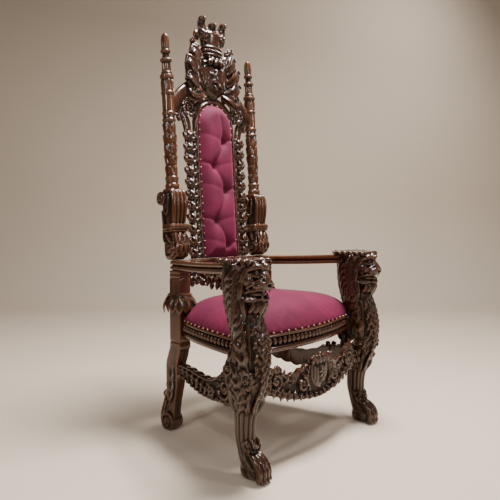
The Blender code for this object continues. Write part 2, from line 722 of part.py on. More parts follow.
def front_stretcher(leg, material):
    """The front apron: a scalloped U between scrolls at the legs, with a crested shield in front."""
    h = FRONT_STRETCHER_HEIGHT
    u, v = (1, 0, 0), (0, 0, 1)

    def at(share, up, ahead=0.0):
        bulge = FRONT_STRETCHER_BULGE * (1 - min(1.0, abs(share) / 0.6) ** 2)
        y = LEG_AXIS_Y - FRONT_STRETCHER_SET_OUT - bulge - ahead * h
        return (share * LEG_X, y, FRONT_STRETCHER_Z + up * h)

    # share of the half length from the middle, lower and upper edge
    edges = [
        (0.00, -0.48, 0.37), (0.12, -0.47, 0.32), (0.25, -0.42, 0.28), (0.38, -0.37, 0.19),
        (0.50, -0.31, 0.20), (0.62, -0.22, 0.32), (0.75, -0.11, 0.47), (0.88, -0.03, 0.52),
        (1.00, 0.03, 0.51),
    ]
    bm = bmesh.new()
    scalloped_board(bm, at, edges, (-1, 1), 61, 8, 0.8 * STRETCHER_THICKNESS, (0, 1, 0))
    relief = 0.62 * STRETCHER_THICKNESS
    for side in (-1, 1):
        volute(bm, at(side * 0.30, -0.11), 0.19 * h, 0.067 * h, side * 1.1, 90, relief, 0.05 * h, u, v)
        volute(bm, at(side * 0.66, 0.12), 0.19 * h, 0.067 * h, -side * 1.1, 250, relief, 0.05 * h, u, v)
        stem = ((0.96, 0.22), (0.80, 0.06), (0.58, -0.17), (0.36, -0.34))
        limb(bm, [at(side * share, up) for share, up in stem], 0.067 * h, relief, v)
    shield_plate(bm, at(0, 0.29, 0.04), 0.58 * h, 0.60 * h, 0.19 * h)
    for x in (-0.12, 0, 0.12):
        leaf(bm, [at(x, 0.22), at(x * 1.1, 0.40), at(x * 1.4, 0.51)], 0.20 * h, 0.13 * h, u, 1)
    both_halves(trimmed(carving("stretcher_front", bm, FRONT_STRETCHER_TRIANGLES, material), leg))


# Back, in its own upright frame: x across, y out from the back's mid plane, z up from its bottom rail's top


def recline(*objects):
    """Leans upright pieces of the back about the top of its bottom rail and sets them in place."""
    lean = Matrix.Rotation(-math.radians(BACK_RECLINE_DEG), 4, "X")
    for obj in objects:
        obj.data.transform(Matrix.Translation((0, BACK_FOOT_Y, BACK_FOOT_Z)) @ lean)


def back_rail(post, arm_piece, material):
    """The rail under the back: a moulded bar with a carved swag that hangs in two arches."""
    half = POST_INNER - FIT_GAP
    deep = BACK_RAIL_DEPTH / 2
    drop = BACK_RAIL_SWAG
    bm = bmesh.new()
    box(bm, (-POST_X, -deep, -BACK_RAIL_HEIGHT), (POST_X, deep, -FIT_GAP))

    def at(share, down, ahead=0.0):
        return (share * half, -ahead * drop, -BACK_RAIL_HEIGHT - down * drop)

    arch = ((1.04, 0.09), (0.80, 0.35), (0.55, 0.16), (0.26, 0.40), (0.0, 0.55))
    for s in (-1, 1):
        thick = np.array([0.16, 0.20, 0.21, 0.21, 0.18]) * drop
        limb(bm, [at(s * share, down) for share, down in arch], thick, 0.12 * drop, (0, 0, 1))
        for x, fall in ((0.82, 0.72), (0.68, 0.62), (0.40, 0.74), (0.26, 0.92), (0.12, 0.98)):
            hang = [at(s * x, 0.1), at(s * x, 0.6 * fall, 0.05), at(s * x * 0.94, fall)]
            leaf(bm, hang, 0.39 * drop, 0.23 * drop, (1, 0, 0), 1)
        curl = at(s * 0.50, 0.50, 0.04)
        volute(bm, curl, 0.27 * drop, 0.10 * drop, s, 90, 0.12 * drop, 0.08 * drop, (1, 0, 0))
    leaf(bm, [at(0, -0.05), at(0, 0.6, 0.07), at(0, 1)], 0.54 * drop, 0.25 * drop, (1, 0, 0), 2)
    rail = carving("back_rail", bm, BACK_RAIL_TRIANGLES, material)
    sliced(rail, (0, 0, -FIT_GAP), (0, 0, 1))
    recline(rail)
    sliced(rail, (-half, 0, 0), (-1, 0, 0))
    return both_halves(trimmed(rail, post, arm_piece))


def back_stile(material):
    """The left stile: a bead beside the panel and a pierced upright of husks and collars outside it."""
    h = STILE_HEIGHT
    deep = BACK_FRAME_DEPTH / 2
    room = STILE_INNER + STILE_WIDTH - STILE_STEM
    over = 0.02 * h
    bm = bmesh.new()
    box(bm, (-STILE_INNER, -deep, -over), (-PANEL_HALF, deep, h + over))
    bead_x = -PANEL_HALF - 0.4 * FRAME_BEAD_WIDTH
    limb(bm, [(bead_x, -deep, -over), (bead_x, -deep, h + over)], *([0.4 * FRAME_BEAD_WIDTH] * 2))
    # height share and half width share of the upright, with its two collars
    husks = [
        (-0.02, 0.55), (0.05, 0.75), (0.11, 0.95), (0.17, 0.60), (0.20, 0.55), (0.215, 0.95),
        (0.235, 0.95), (0.25, 0.60), (0.31, 0.90), (0.37, 0.60), (0.44, 1.0), (0.51, 0.62),
        (0.58, 0.95), (0.65, 0.85), (0.72, 0.60), (0.80, 0.55), (0.815, 0.85), (0.835, 0.85),
        (0.85, 0.55), (0.92, 0.85), (1.02, 1.0),
    ]
    rings = []
    for up, wide in husks:
        ring = [(room * wide * math.cos(a), 0.8 * deep * math.sin(a)) for a in turns(10)]
        rings.append([(-STILE_STEM + x, y, up * h) for x, y in ring])
    loft(bm, rings)
    for k in range(9):
        up = h * (k + 0.3) / 9
        middle = (-STILE_STEM + 0.2 * room, 0, up + 0.035 * h)
        inner = [(bead_x, 0, up), middle, (-STILE_STEM, 0, up + 0.070 * h)]
        limb(bm, inner, 0.14 * STILE_WIDTH, 0.12 * STILE_WIDTH, (0, 1, 0))
        sweep = ((0.0, 0.0), (0.6, 0.04), (1.0, 0.06))
        outer = [(-STILE_STEM - out * room, 0, up + rise * h) for out, rise in sweep]
        limb(bm, outer, np.array([0.17, 0.15, 0.09]) * STILE_WIDTH, 0.15 * STILE_WIDTH, (0, 1, 0))
    stile = carving("back_stile_left", bm, STILE_TRIANGLES, material)
    sliced(stile, (0, 0, h - FIT_GAP), (0, 0, 1))
    sliced(stile, (0, 0, FIT_GAP), (0, 0, -1))
    return sliced(stile, (-PANEL_HALF - FIT_GAP, 0, 0), (1, 0, 0))


def crest_rail(material):
    """The carved head of the back: round arch over the panel, haunches to the columns, shield and crown."""
    deep = BACK_FRAME_DEPTH / 2
    ring = PANEL_HALF + FRAME_BEAD_WIDTH / 2
    half_turn = np.linspace(0, math.pi, 15)
    bend = [(ring * math.cos(a), 0, PANEL_SPRING_H + ring * math.sin(a)) for a in half_turn]
    foot = STILE_HEIGHT - STILE_BELOW_SPRING
    bm = bmesh.new()
    limb(bm, [(ring, 0, foot), *bend, (-ring, 0, foot)], deep, FRAME_BEAD_WIDTH / 2, (0, 1, 0), 8, 2)
    for side in (-1, 1):
        haunch(bm, side, deep)
        spandrel(bm, side, deep, foot)
    mantled_shield(bm)
    crown(bm)
    crest = carving("crest_rail", bm, CREST_TRIANGLES, material)
    sliced(crest, (0, 0, STILE_HEIGHT), (0, 0, -1))
    combined(crest, panel_opening(material), "DIFFERENCE")
    socket = column("socket", material, CUT_GAP)
    combined(crest, mirrored(socket, "other_socket"), "DIFFERENCE")
    combined(crest, socket, "DIFFERENCE")
    biggest_body(crest)
    return crest


def haunch(bm, side, deep):
    """The broad convex band that springs off the column and runs up under the shield."""
    reach = COLUMN_X - 0.4 * COLUMN_RADIUS
    foot = PANEL_SPRING_H + ARCH_FOOT_RISE
    bend = [(1.00, 0.00), (0.89, 0.20), (0.69, 0.55), (0.48, 0.82), (0.20, 0.96), (0.00, 1.00)]
    band = [(side * out * reach, 0, foot + up * ARCH_RISE) for out, up in bend]
    limb(bm, band, np.array([0.16, 0.19, 0.19, 0.19, 0.17, 0.16]) * ARCH_RISE, 1.2 * deep, (0, 0, 1))


def spandrel(bm, side, deep, foot):
    """The leafwork under a haunch: a leaf up from the stile, a scroll, and twigs to the two bands."""
    reach = COLUMN_X
    h = ARCH_RISE

    def at(out, up):
        return (side * out * reach, 0, PANEL_SPRING_H + up * h)

    u = (1, 0, 0)
    rising = [(side * STILE_STEM, 0, foot), at(0.64, 0.07), at(0.73, 0.36), at(0.83, 0.60)]
    limb(bm, rising, np.array([0.19, 0.23, 0.17, 0.11]) * h, 0.8 * deep, u)
    volute(bm, at(0.58, 0.51), 0.24 * h, 0.09 * h, side * 1.2, 200, 0.9 * deep, 0.07 * h, u)
    twig = [at(0.42, 0.21), at(0.51, 0.43), at(0.49, 0.79), at(0.58, 1.14)]
    limb(bm, twig, 0.9 * deep, 0.07 * h, (0, 1, 0))
    limb(bm, [at(0.23, 0.68), at(0.29, 1.00), at(0.35, 1.36)], 0.9 * deep, 0.10 * h, (0, 1, 0))
    drop = [at(0.72, 0.43), at(0.80, 0.21), at(0.77, 0.03)]
    limb(bm, drop, np.array([0.10, 0.11, 0.06]) * h, 0.8 * deep, u)


def mantled_shield(bm):
    """The domed shield over the arch, with leafy mantling down each side and a roll along its head."""
    w, h = SHIELD_WIDTH, SHIELD_HEIGHT
    foot = PANEL_SPRING_H + SHIELD_LIFT
    shield_plate(bm, (0, -0.11 * w, foot + h), w, h, 0.26 * w)

    def at(out, ahead, up):
        return (out * w, -ahead * w, foot + up * h)

    scarf = ((0.50, 0.04, 0.12), (0.74, 0.06, 0.45), (0.77, 0.06, 0.87), (0.56, 0.07, 1.15))
    for s in (-1, 1):
        for up, out in ((0.12, 0.40), (0.35, 0.49), (0.60, 0.55), (0.87, 0.52), (1.09, 0.42)):
            lift = 0.13 if up > 0.5 else -0.13
            curl = [at(s * 0.35, 0, up - 0.13), at(s * (0.5 + 0.4 * out), 0.07, up)]
            curl.append(at(s * (0.5 + out), 0.02, up + lift))
            leaf(bm, curl, 0.30 * w, 0.18 * w, (0, 0, 1), 1)
        limb(bm, [at(s * out, ahead, up) for out, ahead, up in scarf], 0.155 * w, 0.10 * w, (0, 1, 0))
    limb(bm, [at(-0.5, 0.05, 1.03), at(0, 0.10, 1.09), at(0.5, 0.05, 1.03)], 0.12 * w, 0.12 * w, (0, 1, 0))


def crown(bm):
    """A crown on the shield: a flared circlet, a wing on each side and three prongs with curled tips."""
    h = CROWN_HEIGHT
    base = PANEL_SPRING_H + SHIELD_LIFT + SHIELD_HEIGHT + 0.05 * h

    def at(out, ahead, up):
        return (out * h, -ahead * h, base + up * h)

    rings = []
    for up, out in ((0.0, 0.22), (0.16, 0.26), (0.24, 0.29), (0.34, 0.27), (0.62, 0.33), (0.70, 0.29)):
        rings.append([at(out * math.cos(a), 0.05 - 0.52 * out * math.sin(a), up) for a in turns(16)])
    loft(bm, rings)
    for x, top in ((-0.275, 0.90), (0.0, 0.83), (0.275, 0.90)):
        prong = [at(x, 0.10, 0.50), at(x * 1.10, 0.12, 0.76), at(x * 1.16, 0.15, top)]
        limb(bm, prong, np.array([0.09, 0.06, 0.06]) * h, 0.06 * h)
        ball(bm, prong[-1], (0.083 * h, 0.098 * h, 0.081 * h))
        ball(bm, at(x * 0.8, -0.06, 0.74), (0.08 * h, 0.07 * h, 0.12 * h))
    wing = ((0.25, 0.02, -0.05), (0.46, 0.10, 0.20), (0.55, 0.07, 0.42), (0.62, 0.12, 0.38))
    half_wide, half_deep = np.array([(0.13, 0.14, 0.11, 0.05), (0.08, 0.09, 0.08, 0.04)]) * h
    for s in (-1, 1):
        limb(bm, [at(s * out, ahead, up) for out, ahead, up in wing], half_wide, half_deep)


def panel_outline(half, foot, sides):
    """The round-headed panel's outline, with some points up each side."""
    up_side = np.linspace(foot, PANEL_SPRING_H, sides)[:-1]
    arch = [(half * math.cos(a), PANEL_SPRING_H + half * math.sin(a)) for a in np.linspace(0, math.pi, 13)]
    return [(half, z) for z in up_side] + arch + [(-half, z) for z in reversed(up_side)]


def panel_opening(material):
    """The space of the panel as a plain prism through the frame."""
    bm = bmesh.new()
    outline = panel_outline(PANEL_HALF, 0.0, 2)
    loft(bm, [[(x, y, z) for x, z in outline] for y in (-2 * BACK_FRAME_DEPTH, 2 * BACK_FRAME_DEPTH)])
    return mesh_object("opening", bm, material)


def back_pad(material):
    """The buttoned panel: a flat-backed pad that fills the opening and puffs out in front."""
    half = PANEL_HALF - FIT_GAP
    front = -PAD_THICKNESS / 2
    rings = [[(x, PAD_THICKNESS / 2, z) for x, z in panel_outline(half, FIT_GAP, 4)]]
    for shrink, puff in ((0.0, 0.0), (0.09, 0.52), (0.28, 0.86), (0.52, 1.0)):
        inset = shrink * half
        outline = panel_outline(half - inset, FIT_GAP + inset, 4)
        rings.append([(x, front - PAD_PUFF * puff, z) for x, z in outline])
    bm = bmesh.new()
    loft(bm, rings)
    return mesh_object("back_pad", bm, material)


def column(name, material, play=0.0):
    """A turned column: rings and collars over a leafy shaft, and a pinnacle, spun about its own axis.

    With some play it is the socket for the column instead.
    """
    r, h = COLUMN_RADIUS + play, COLUMN_HEIGHT
    # height share and radius share, foot to tip
    profile = [
        (0.000, 0.98), (0.030, 1.00), (0.045, 0.86), (0.070, 0.95), (0.150, 0.88), (0.280, 1.00),
        (0.380, 0.96), (0.425, 0.84), (0.437, 0.95), (0.450, 0.84), (0.468, 0.84), (0.480, 0.95),
        (0.492, 0.86), (0.600, 0.84), (0.612, 0.95), (0.680, 0.90), (0.700, 0.80), (0.716, 0.97),
        (0.735, 0.70), (0.810, 0.60), (0.822, 0.84), (0.834, 0.58), (0.868, 0.52), (0.880, 0.70),
        (0.896, 0.62), (0.985, 0.40),
    ]
    foot = CONSOLE_HEIGHT + FIT_GAP
    bm = bmesh.new()
    outline = [bm.verts.new((r * wide - COLUMN_X, 0, foot + up * h)) for up, wide in profile]
    outline.append(bm.verts.new((-COLUMN_X, 0, foot + h)))
    edges = [bm.edges.new(pair) for pair in zip(outline, outline[1:])]
    axis = {"cent": (-COLUMN_X, 0, 0), "axis": (0, 0, 1), "angle": 2 * math.pi}
    bmesh.ops.spin(bm, geom=edges, steps=COLUMN_SIDES, use_merge=True, **axis)
    bmesh.ops.remove_doubles(bm, verts=bm.verts, dist=FIT_GAP / 10)
    bmesh.ops.holes_fill(bm, edges=bm.edges)
    return mesh_object(name, bm, material)


def console(material):
    """A scrolled bracket: its back curls over at the top, its reeded front ends in a leaf curled under."""
    w, d, h = CONSOLE_WIDTH / 2, CONSOLE_DEPTH / 2, CONSOLE_HEIGHT

    def at(out, back, up):
        return (-COLUMN_X + out * w, back * d, up * h)

    # height, front and back of the side outline, half width
    core = [
        (-0.03, 0.80, 0.80, 0.88), (0.10, 1.25, 0.98, 0.96), (0.22, 1.20, 0.95, 0.98),
        (0.36, 0.98, 0.92, 0.90), (0.50, 0.96, 0.92, 0.90), (0.72, 1.08, 0.92, 0.98),
        (0.86, 1.04, 0.96, 0.98), (0.95, 0.92, 0.96, 0.84), (1.02, 0.86, 0.90, 0.78),
    ]
    rings = []
    for up, front, back, wide in core:
        ring = []
        for a in turns(16):
            corner = max(abs(math.cos(a)), abs(math.sin(a))) ** 0.55
            depth = back if math.sin(a) > 0 else front
            ring.append(at(wide * math.cos(a) / corner, depth * math.sin(a) / corner, up))
        rings.append(ring)
    bm = bmesh.new()
    loft(bm, rings)
    for up in (0.43, 0.47):
        band = [at(-1.22, -0.2, up), at(-1.1, -1.2, up), at(1.1, -1.2, up), at(1.22, -0.2, up)]
        limb(bm, band, 0.16 * w, 0.16 * w, (0, 0, 1), 6, 2)
    roll(bm, at(0, 1.02, 0.868), 0.92 * w, 0.85 * w)
    roll(bm, at(0, -0.30, 0.15), 1.0 * w, 1.0 * w)
    for x in np.linspace(-0.76, 0.76, 5):
        reed = [at(x, -0.90, 0.97), at(x, -1.10, 0.80), at(x, -1.06, 0.66), at(x, -0.98, 0.50)]
        limb(bm, reed, 0.175 * w, 0.15 * w)
    for x in (-0.60, 0.0, 0.60):
        frond = [at(x, -1.00, 0.39), at(x, -1.38, 0.22), at(x, -1.20, 0.08), at(x, -0.50, 0.03)]
        leaf(bm, frond, 0.75 * w, 0.40 * w, (1, 0, 0), 2)
    bracket = carving("console_left", bm, CONSOLE_TRIANGLES, material)
    sliced(bracket, at(0, 0, 1), (0, 0, 1))
    return sliced(bracket, at(0, 0, 0), (0, 0, -1))


def main():
    for obj in list(bpy.data.objects):
        bpy.data.objects.remove(obj)
    carved = finish("carved_mahogany", (0.085, 0.035, 0.020), 0.30)
    turned = finish("turned_mahogany", (0.165, 0.062, 0.030), 0.28)
    velvet = finish("wine_velvet", (0.300, 0.040, 0.095), 0.85)

    leg, post = lion_leg(carved), rear_leg(turned)
    seat_rails(leg, post, carved)
    cushion(leg, post, velvet)
    side_stretcher(leg, post, carved)
    front_stretcher(leg, carved)
    left_arm = trimmed(arm(turned), leg)

    rail = back_rail(post, left_arm, carved)
    stile, crest, pad = back_stile(carved), crest_rail(carved), back_pad(velvet)
    bracket, shaft = console(turned), column("column_left", turned)
    recline(stile, crest, pad, bracket, shaft)
    trimmed(bracket, left_arm, post, rail)
    trimmed(stile, bracket, rail)
    sides = {
        "front_leg_right": leg, "rear_leg_right": post, "arm_right": left_arm, "back_stile_right": stile,
        "console_right": bracket, "column_right": shaft,
    }
    for name, left in sides.items():
        mirrored(left, name)

    throne = bpy.data.objects.new("throne", None)
    bpy.context.scene.collection.objects.link(throne)
    for obj in bpy.data.objects:
        if obj is not throne:
            obj.parent = throne


main()
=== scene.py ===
"""Looks of a tall carved throne: carved and polished mahogany, wine velvet and brass nails.

Metres, +Z up, the front faces -Y. Carved pieces are gathered from closed surfaces worked out with numpy,
fused, and marked with how far each point stands over its surroundings, which the wood's polish reads, and its
colour too, as old stain and painted shade in the hollows.
"""

import json
import math

import bpy
import numpy as np
from mathutils import Matrix, Vector

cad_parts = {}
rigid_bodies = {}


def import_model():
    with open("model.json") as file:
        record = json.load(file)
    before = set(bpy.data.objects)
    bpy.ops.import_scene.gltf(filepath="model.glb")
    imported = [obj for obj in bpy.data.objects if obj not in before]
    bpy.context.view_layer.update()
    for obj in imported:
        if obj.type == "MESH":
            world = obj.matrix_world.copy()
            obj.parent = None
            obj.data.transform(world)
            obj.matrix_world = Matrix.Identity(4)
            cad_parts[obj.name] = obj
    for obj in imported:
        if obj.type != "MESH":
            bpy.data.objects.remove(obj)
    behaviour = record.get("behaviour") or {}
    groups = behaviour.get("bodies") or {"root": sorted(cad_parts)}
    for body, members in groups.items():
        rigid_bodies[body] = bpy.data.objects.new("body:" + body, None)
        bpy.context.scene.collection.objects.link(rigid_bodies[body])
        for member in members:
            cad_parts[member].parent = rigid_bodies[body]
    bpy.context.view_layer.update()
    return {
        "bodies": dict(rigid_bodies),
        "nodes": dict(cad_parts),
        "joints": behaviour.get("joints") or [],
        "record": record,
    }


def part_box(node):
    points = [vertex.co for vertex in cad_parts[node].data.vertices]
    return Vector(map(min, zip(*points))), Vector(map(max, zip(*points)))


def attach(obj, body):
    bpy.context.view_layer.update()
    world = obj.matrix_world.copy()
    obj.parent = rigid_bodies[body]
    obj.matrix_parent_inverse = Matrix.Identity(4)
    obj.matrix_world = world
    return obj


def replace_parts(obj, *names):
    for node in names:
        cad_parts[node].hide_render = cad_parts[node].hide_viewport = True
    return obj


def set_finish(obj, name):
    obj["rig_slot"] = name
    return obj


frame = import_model()


bl_info = {
    "name": "Carved Throne",
    "version": (1, 0, 0),
    "blender": (4, 5, 0),
    "location": "View3D > Sidebar > Throne",
    "description": "Builds the carving, upholstery and finishes of a lion throne round its fixed frame",
    "category": "Object",
}

# Places that the frame fixes
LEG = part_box("front_leg_left")
LEG_HEIGHT = LEG[1][2]
LEG_X = -(LEG[0][0] + LEG[1][0]) / 2
LEG_Y = -0.25
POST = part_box("rear_leg_left")
POST_X = -(POST[0][0] + POST[1][0]) / 2
POST_Y = 0.224
POST_TOP = POST[1][2]
POST_HALF = (0.029, 0.034)
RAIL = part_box("seat_rail_front")
RAIL_TOP, RAIL_BOTTOM = RAIL[1][2], RAIL[0][2]
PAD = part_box("back_pad")
PAD_HALF = PAD[1][0]
BACK_LEAN = math.radians(3.9)
GAP = 0.0004
BACK_FOOT = (0, 0.257, PAD[0][2] - GAP)
PANEL_SPRING = 0.598
STILE_HEIGHT = 0.566
FRAME_BEAD = 0.02
COLUMN_X = 0.259
COLUMN_HEIGHT = 0.664
CONSOLE_HEIGHT = 0.304
ARM_THICKNESS = 0.042
LEG_THOUSANDTH = LEG_HEIGHT / 1000
STEM_X = PAD_HALF + FRAME_BEAD / 2 + 0.0425
APRON_HEIGHT = 0.129
FRONT_APRON_HEIGHT = 0.18
BUTTONS = ((0.033, 0.533), (-0.033, 0.416), (0.033, 0.308), (-0.033, 0.166), (0.033, 0.058))

# Ways: across, back, up, and the way that the throne faces
X, Y, Z = np.eye(3)
AHEAD = -Y

# Most triangles of each carved piece
TRIANGLES = {
    "lion_leg_left": 115_000, "post_leg_left": 38_000, "apron_front": 62_000, "apron_left": 42_000,
    "swagged_rail": 46_000, "pierced_stile_left": 40_000, "crest": 112_000, "bracket_left": 38_000,
}

# The photograph's view
CAMERA_PLACE = (-1.674, -1.4665, 0.8785)
CAMERA_TURN = (87.31, 0.0, -47.51)
CAMERA_LENS = 37.39


# Surfaces: each is a grid of points whose rows are closed rings


def unit(vectors):
    """Vectors divided by their lengths."""
    return vectors / np.maximum(np.linalg.norm(vectors, axis=-1, keepdims=True), 1e-9)


def turns(count):
    """Angles once round."""
    return np.linspace(0, 2 * np.pi, count, endpoint=False)


def smooth_path(points, steps):
    """A Catmull-Rom curve: b + ((c-a)t + (2a-5b+4c-d)t^2 + (3b-a-3c+d)t^3) / 2 on each span."""
    p = np.asarray(points, float)
    p = np.vstack([2 * p[0] - p[1], p, 2 * p[-1] - p[-2]])
    a, b, c, d = (p[i : len(p) - 3 + i, None, :] for i in range(4))
    t = np.linspace(0, 1, steps, endpoint=False)[None, :, None]
    curve = b + ((c - a) * t + (2 * a - 5 * b + 4 * c - d) * t**2 + (3 * b - a - 3 * c + d) * t**3) / 2
    return np.vstack([curve.reshape(-1, p.shape[1]), p[-2:-1]])


def ring_quads(rows, ring):
    """The quads between neighbouring closed rings of a grid."""
    first = np.arange(rows - 1)[:, None] * ring
    here = np.arange(ring)[None, :]
    beside = (here + 1) % ring
    corners = (first + here, first + beside, first + ring + beside, first + ring + here)
    return np.stack(corners, -1).reshape(-1, 4)


def closed_grid(rings):
    """Points and triangles of a ring grid, its two ends closed by fans, with its faces outwards."""
    rows, ring = rings.shape[:2]
    points = np.concatenate([rings.reshape(-1, 3), rings[:1].mean(1), rings[-1:].mean(1)])
    quads = ring_quads(rows, ring)
    here = np.arange(ring)
    beside = (here + 1) % ring
    last = (rows - 1) * ring
    foot = np.stack([beside, here, np.full(ring, rows * ring)], -1)
    head = np.stack([last + here, last + beside, np.full(ring, rows * ring + 1)], -1)
    faces = np.concatenate([quads[:, :3], quads[:, [0, 2, 3]], foot, head])
    a, b, c = (points[faces[:, k]] for k in range(3))
    if np.einsum("ij,ij->", a, np.cross(b, c)) < 0:
        faces = faces[:, ::-1]
    return points, faces


def dome(ring, rows):
    """A unit ball: (cos v cos u, cos v sin u, sin v)."""
    v, u = np.linspace(-0.499, 0.499, rows)[:, None] * np.pi, turns(ring)
    return np.stack([np.cos(v) * np.cos(u), np.cos(v) * np.sin(u), np.sin(v) + 0 * u], -1)


def sides_of(line, across):
    """Across a line, as near as may be to the way given, and square to both: one of each at every point."""
    ahead, across = unit(np.gradient(line, axis=0)), np.asarray(across, float)
    side = unit(across - (ahead @ across)[:, None] * ahead)[:, None]
    return side, np.cross(ahead, side[:, 0])[:, None]


def scaled(origin, scale, order=(0, 1, 2)):
    """A carving's frame: the places' coordinates in an order, times a scale, from an origin."""
    return lambda places: places[..., order] * scale + origin


class Carving:
    """Gathers closed surfaces, to be fused into one carved piece or kept as they are.

    Places are read through the carving's own frame and on its present side, and widths in its own unit.
    """

    def __init__(self):
        self.points, self.faces, self.count, self.side = [], [], 0, 1
        self.within()

    def within(self, frame=None, unit_size=1.0):
        """Sets the frame, a function from local points to the throne's, and the length of its unit."""
        self.frame, self.size = frame or np.asarray, unit_size

    def sides(self):
        """Goes over the two sides: the places given for each are mirrored by the first coordinate."""
        for self.side in (-1, 1):
            yield self.side
        self.side = 1

    def at(self, path):
        """A path's points in the throne's frame. A place given by two numbers has a third of 0."""
        points = np.array([(*place, 0.0)[:3] for place in path], float)
        return self.frame(points * (self.side, 1, 1))

    def add(self, points, faces):
        self.points.append(points)
        self.faces.append(faces + self.count)
        self.count += len(points)

    def shell(self, rings):
        self.add(*closed_grid(np.asarray(rings, float)))

    def rod(self, line, wide, deep, across, sides=14, ripple=0.0, strands=6):
        """line(t) + side w(t) cos a (1 + ripple cos ka) + normal d(t) sin a (1 + ripple cos ka)."""
        t = np.linspace(0, 1, len(line))
        half_wide, half_deep = (
            np.interp(t, np.linspace(0, 1, len(half)), half)[:, None, None] for half in (wide, deep)
        )
        side, normal = sides_of(line, across)
        a = turns(sides)[None, :, None]
        swell = 1 + ripple * np.cos(strands * a)
        section = side * half_wide * np.cos(a) + normal * half_deep * np.sin(a)
        self.shell(line[:, None] + section * swell)

    def tube(self, path, wide, deep=None, across=X, sides=14, steps=6, ripple=0.0, strands=6):
        """A rod along a smooth path, from half widths and half depths at its places."""
        wide, deep = (
            np.broadcast_to(half, len(path)) * self.size for half in (wide, wide if deep is None else deep)
        )
        self.rod(smooth_path(self.at(path), steps), wide, deep, across, sides, ripple, strands)

    def blade(self, path, width, thick, across=X, lobes=4, cup=0.25, vein=0.55):
        """An acanthus leaf: its half width swells as sin, pulled in between lobes, and its section is a lens
        bent up by cup s^2, with a groove exp(-(s/0.2)^2) down its middle and ribs cos(2 pi n t - 4|s|)."""
        line = smooth_path(path, 9)
        t = np.linspace(0, 1, len(line))
        notch = 0.62 + 0.38 * np.abs(np.sin(np.pi * lobes * t)) ** 0.7
        half = (width / 2 * np.sin(np.pi * (0.12 + 0.88 * t)) ** 0.6 * notch + 0.0006)[:, None]
        side, normal = sides_of(line, across)
        a = turns(22)[None, :]
        s = np.cos(a)
        fade = np.sin(np.pi * np.clip(0.15 + 0.85 * t, 0, 1))[:, None] ** 0.5
        rib = 1 + 0.3 * np.cos(2 * np.pi * lobes * t[:, None] - 4 * np.abs(s))
        rib = rib - vein * np.exp(-((s / 0.2) ** 2))
        lift = thick / 2 * np.sin(a) * fade * rib + cup * half * s**2
        self.shell(line[:, None] + side * (half * s)[..., None] + normal * lift[..., None])

    def leaf(self, path, width, thick, *shape):
        """An acanthus leaf in the carving's own frame and unit."""
        self.blade(self.at(path), width * self.size, thick * self.size, *shape)

    def ball(self, centre, radii):
        """centre + radii (cos v cos u, cos v sin u, sin v)."""
        self.shell(dome(20, 14) * np.multiply(radii, self.size) + self.at([centre])[0])

    def box(self, low, high):
        """A plain box between two corners of the throne's frame."""
        low, high = np.asarray(low, float), np.asarray(high, float)
        corners = np.array([(0, 0), (1, 0), (1, 1), (0, 1)])
        self.shell([low + np.column_stack([corners, np.full(4, up)]) * (high - low) for up in (0, 1)])

    def spiral(self, centre, outer, inner, winds, start, wide, deep, u=AHEAD, v=Z):
        """A rod along centre + r(t) (u cos f + v sin f), with r = outer (inner/outer)^t, and an eye in it."""
        outer, inner, wide, deep = (part * self.size for part in (outer, inner, wide, deep))
        centre = self.at([centre])[0]
        t = np.linspace(0, 1, int(16 * abs(winds)) + 4)
        f = math.radians(start) + 2 * np.pi * winds * t
        r = outer * (inner / outer) ** t
        path = centre + np.outer(r * np.cos(f), u) + np.outer(r * np.sin(f), v)
        self.rod(smooth_path(path, 2), wide * (1 - 0.4 * t), deep * (1 - 0.3 * t), np.cross(u, v), 12)
        axis = np.abs(np.cross(u, v))
        self.shell(dome(12, 8) * (inner * 0.9 * (1 - axis) + 1.15 * wide * axis + 0.001) + centre)

    def fan(self, centre, reach, sweep, count, width, thick, u=AHEAD, v=Z):
        """Leaflets round a centre: centre + r (u cos f + v sin f), r over the reach, f over the sweep."""
        u, v, centre = np.asarray(u, float), np.asarray(v, float), self.at([centre])[0]
        near, far, width, thick = (part * self.size for part in (*reach, width, thick))
        out = np.cross(u, v)
        for f in np.radians(np.linspace(*sweep, count)):
            way, side = u * math.cos(f) + v * math.sin(f), v * math.cos(f) - u * math.sin(f)
            ribs = ((near, 0), ((near + far) / 2, 0.5), (far, 0.1))
            self.blade([centre + way * r + out * up * thick for r, up in ribs], width, thick, side, 1, 0.1)

    def spray(self, stem, size, count, out=AHEAD, both=(-1, 1)):
        """Running acanthus: a stem with leaflets that spring from its sides and bend away from it."""
        size = size * self.size
        line = smooth_path(self.at(stem), 8)
        ahead, out = unit(np.gradient(line, axis=0)), unit(np.asarray(out, float))
        side = unit(np.cross(ahead, out))
        half = np.ones(len(stem)) * size
        self.rod(smooth_path(self.at(stem), 6), 0.15 * half, 0.17 * half, side[len(side) // 2])
        for k in range(count):
            i = int((k + 0.35) / count * (len(line) - 1))
            reach = size * (1 - 0.35 * abs(2 * k / max(1, count - 1) - 1))
            for s in both:
                bend, across = ahead[i] * reach, side[i] * s * reach
                middle = line[i] + 0.42 * bend + 0.38 * across + out * 0.16 * size
                tip = line[i] + 0.62 * bend + 0.84 * across + out * 0.02 * size
                root = np.cross(out, tip - line[i])
                self.blade([line[i], middle, tip], 0.46 * reach, 0.26 * size, root, 1, 0.15)

    def beads(self, places, radii, ring=8, rows=6):
        """The same small ball at every place."""
        points, faces = closed_grid(dome(ring, rows) * np.multiply(radii, self.size))
        many = (self.at(places)[:, None] + points).reshape(-1, 3)
        steps = np.arange(len(places))[:, None, None] * len(points)
        self.add(many, (faces[None] + steps).reshape(-1, 3))

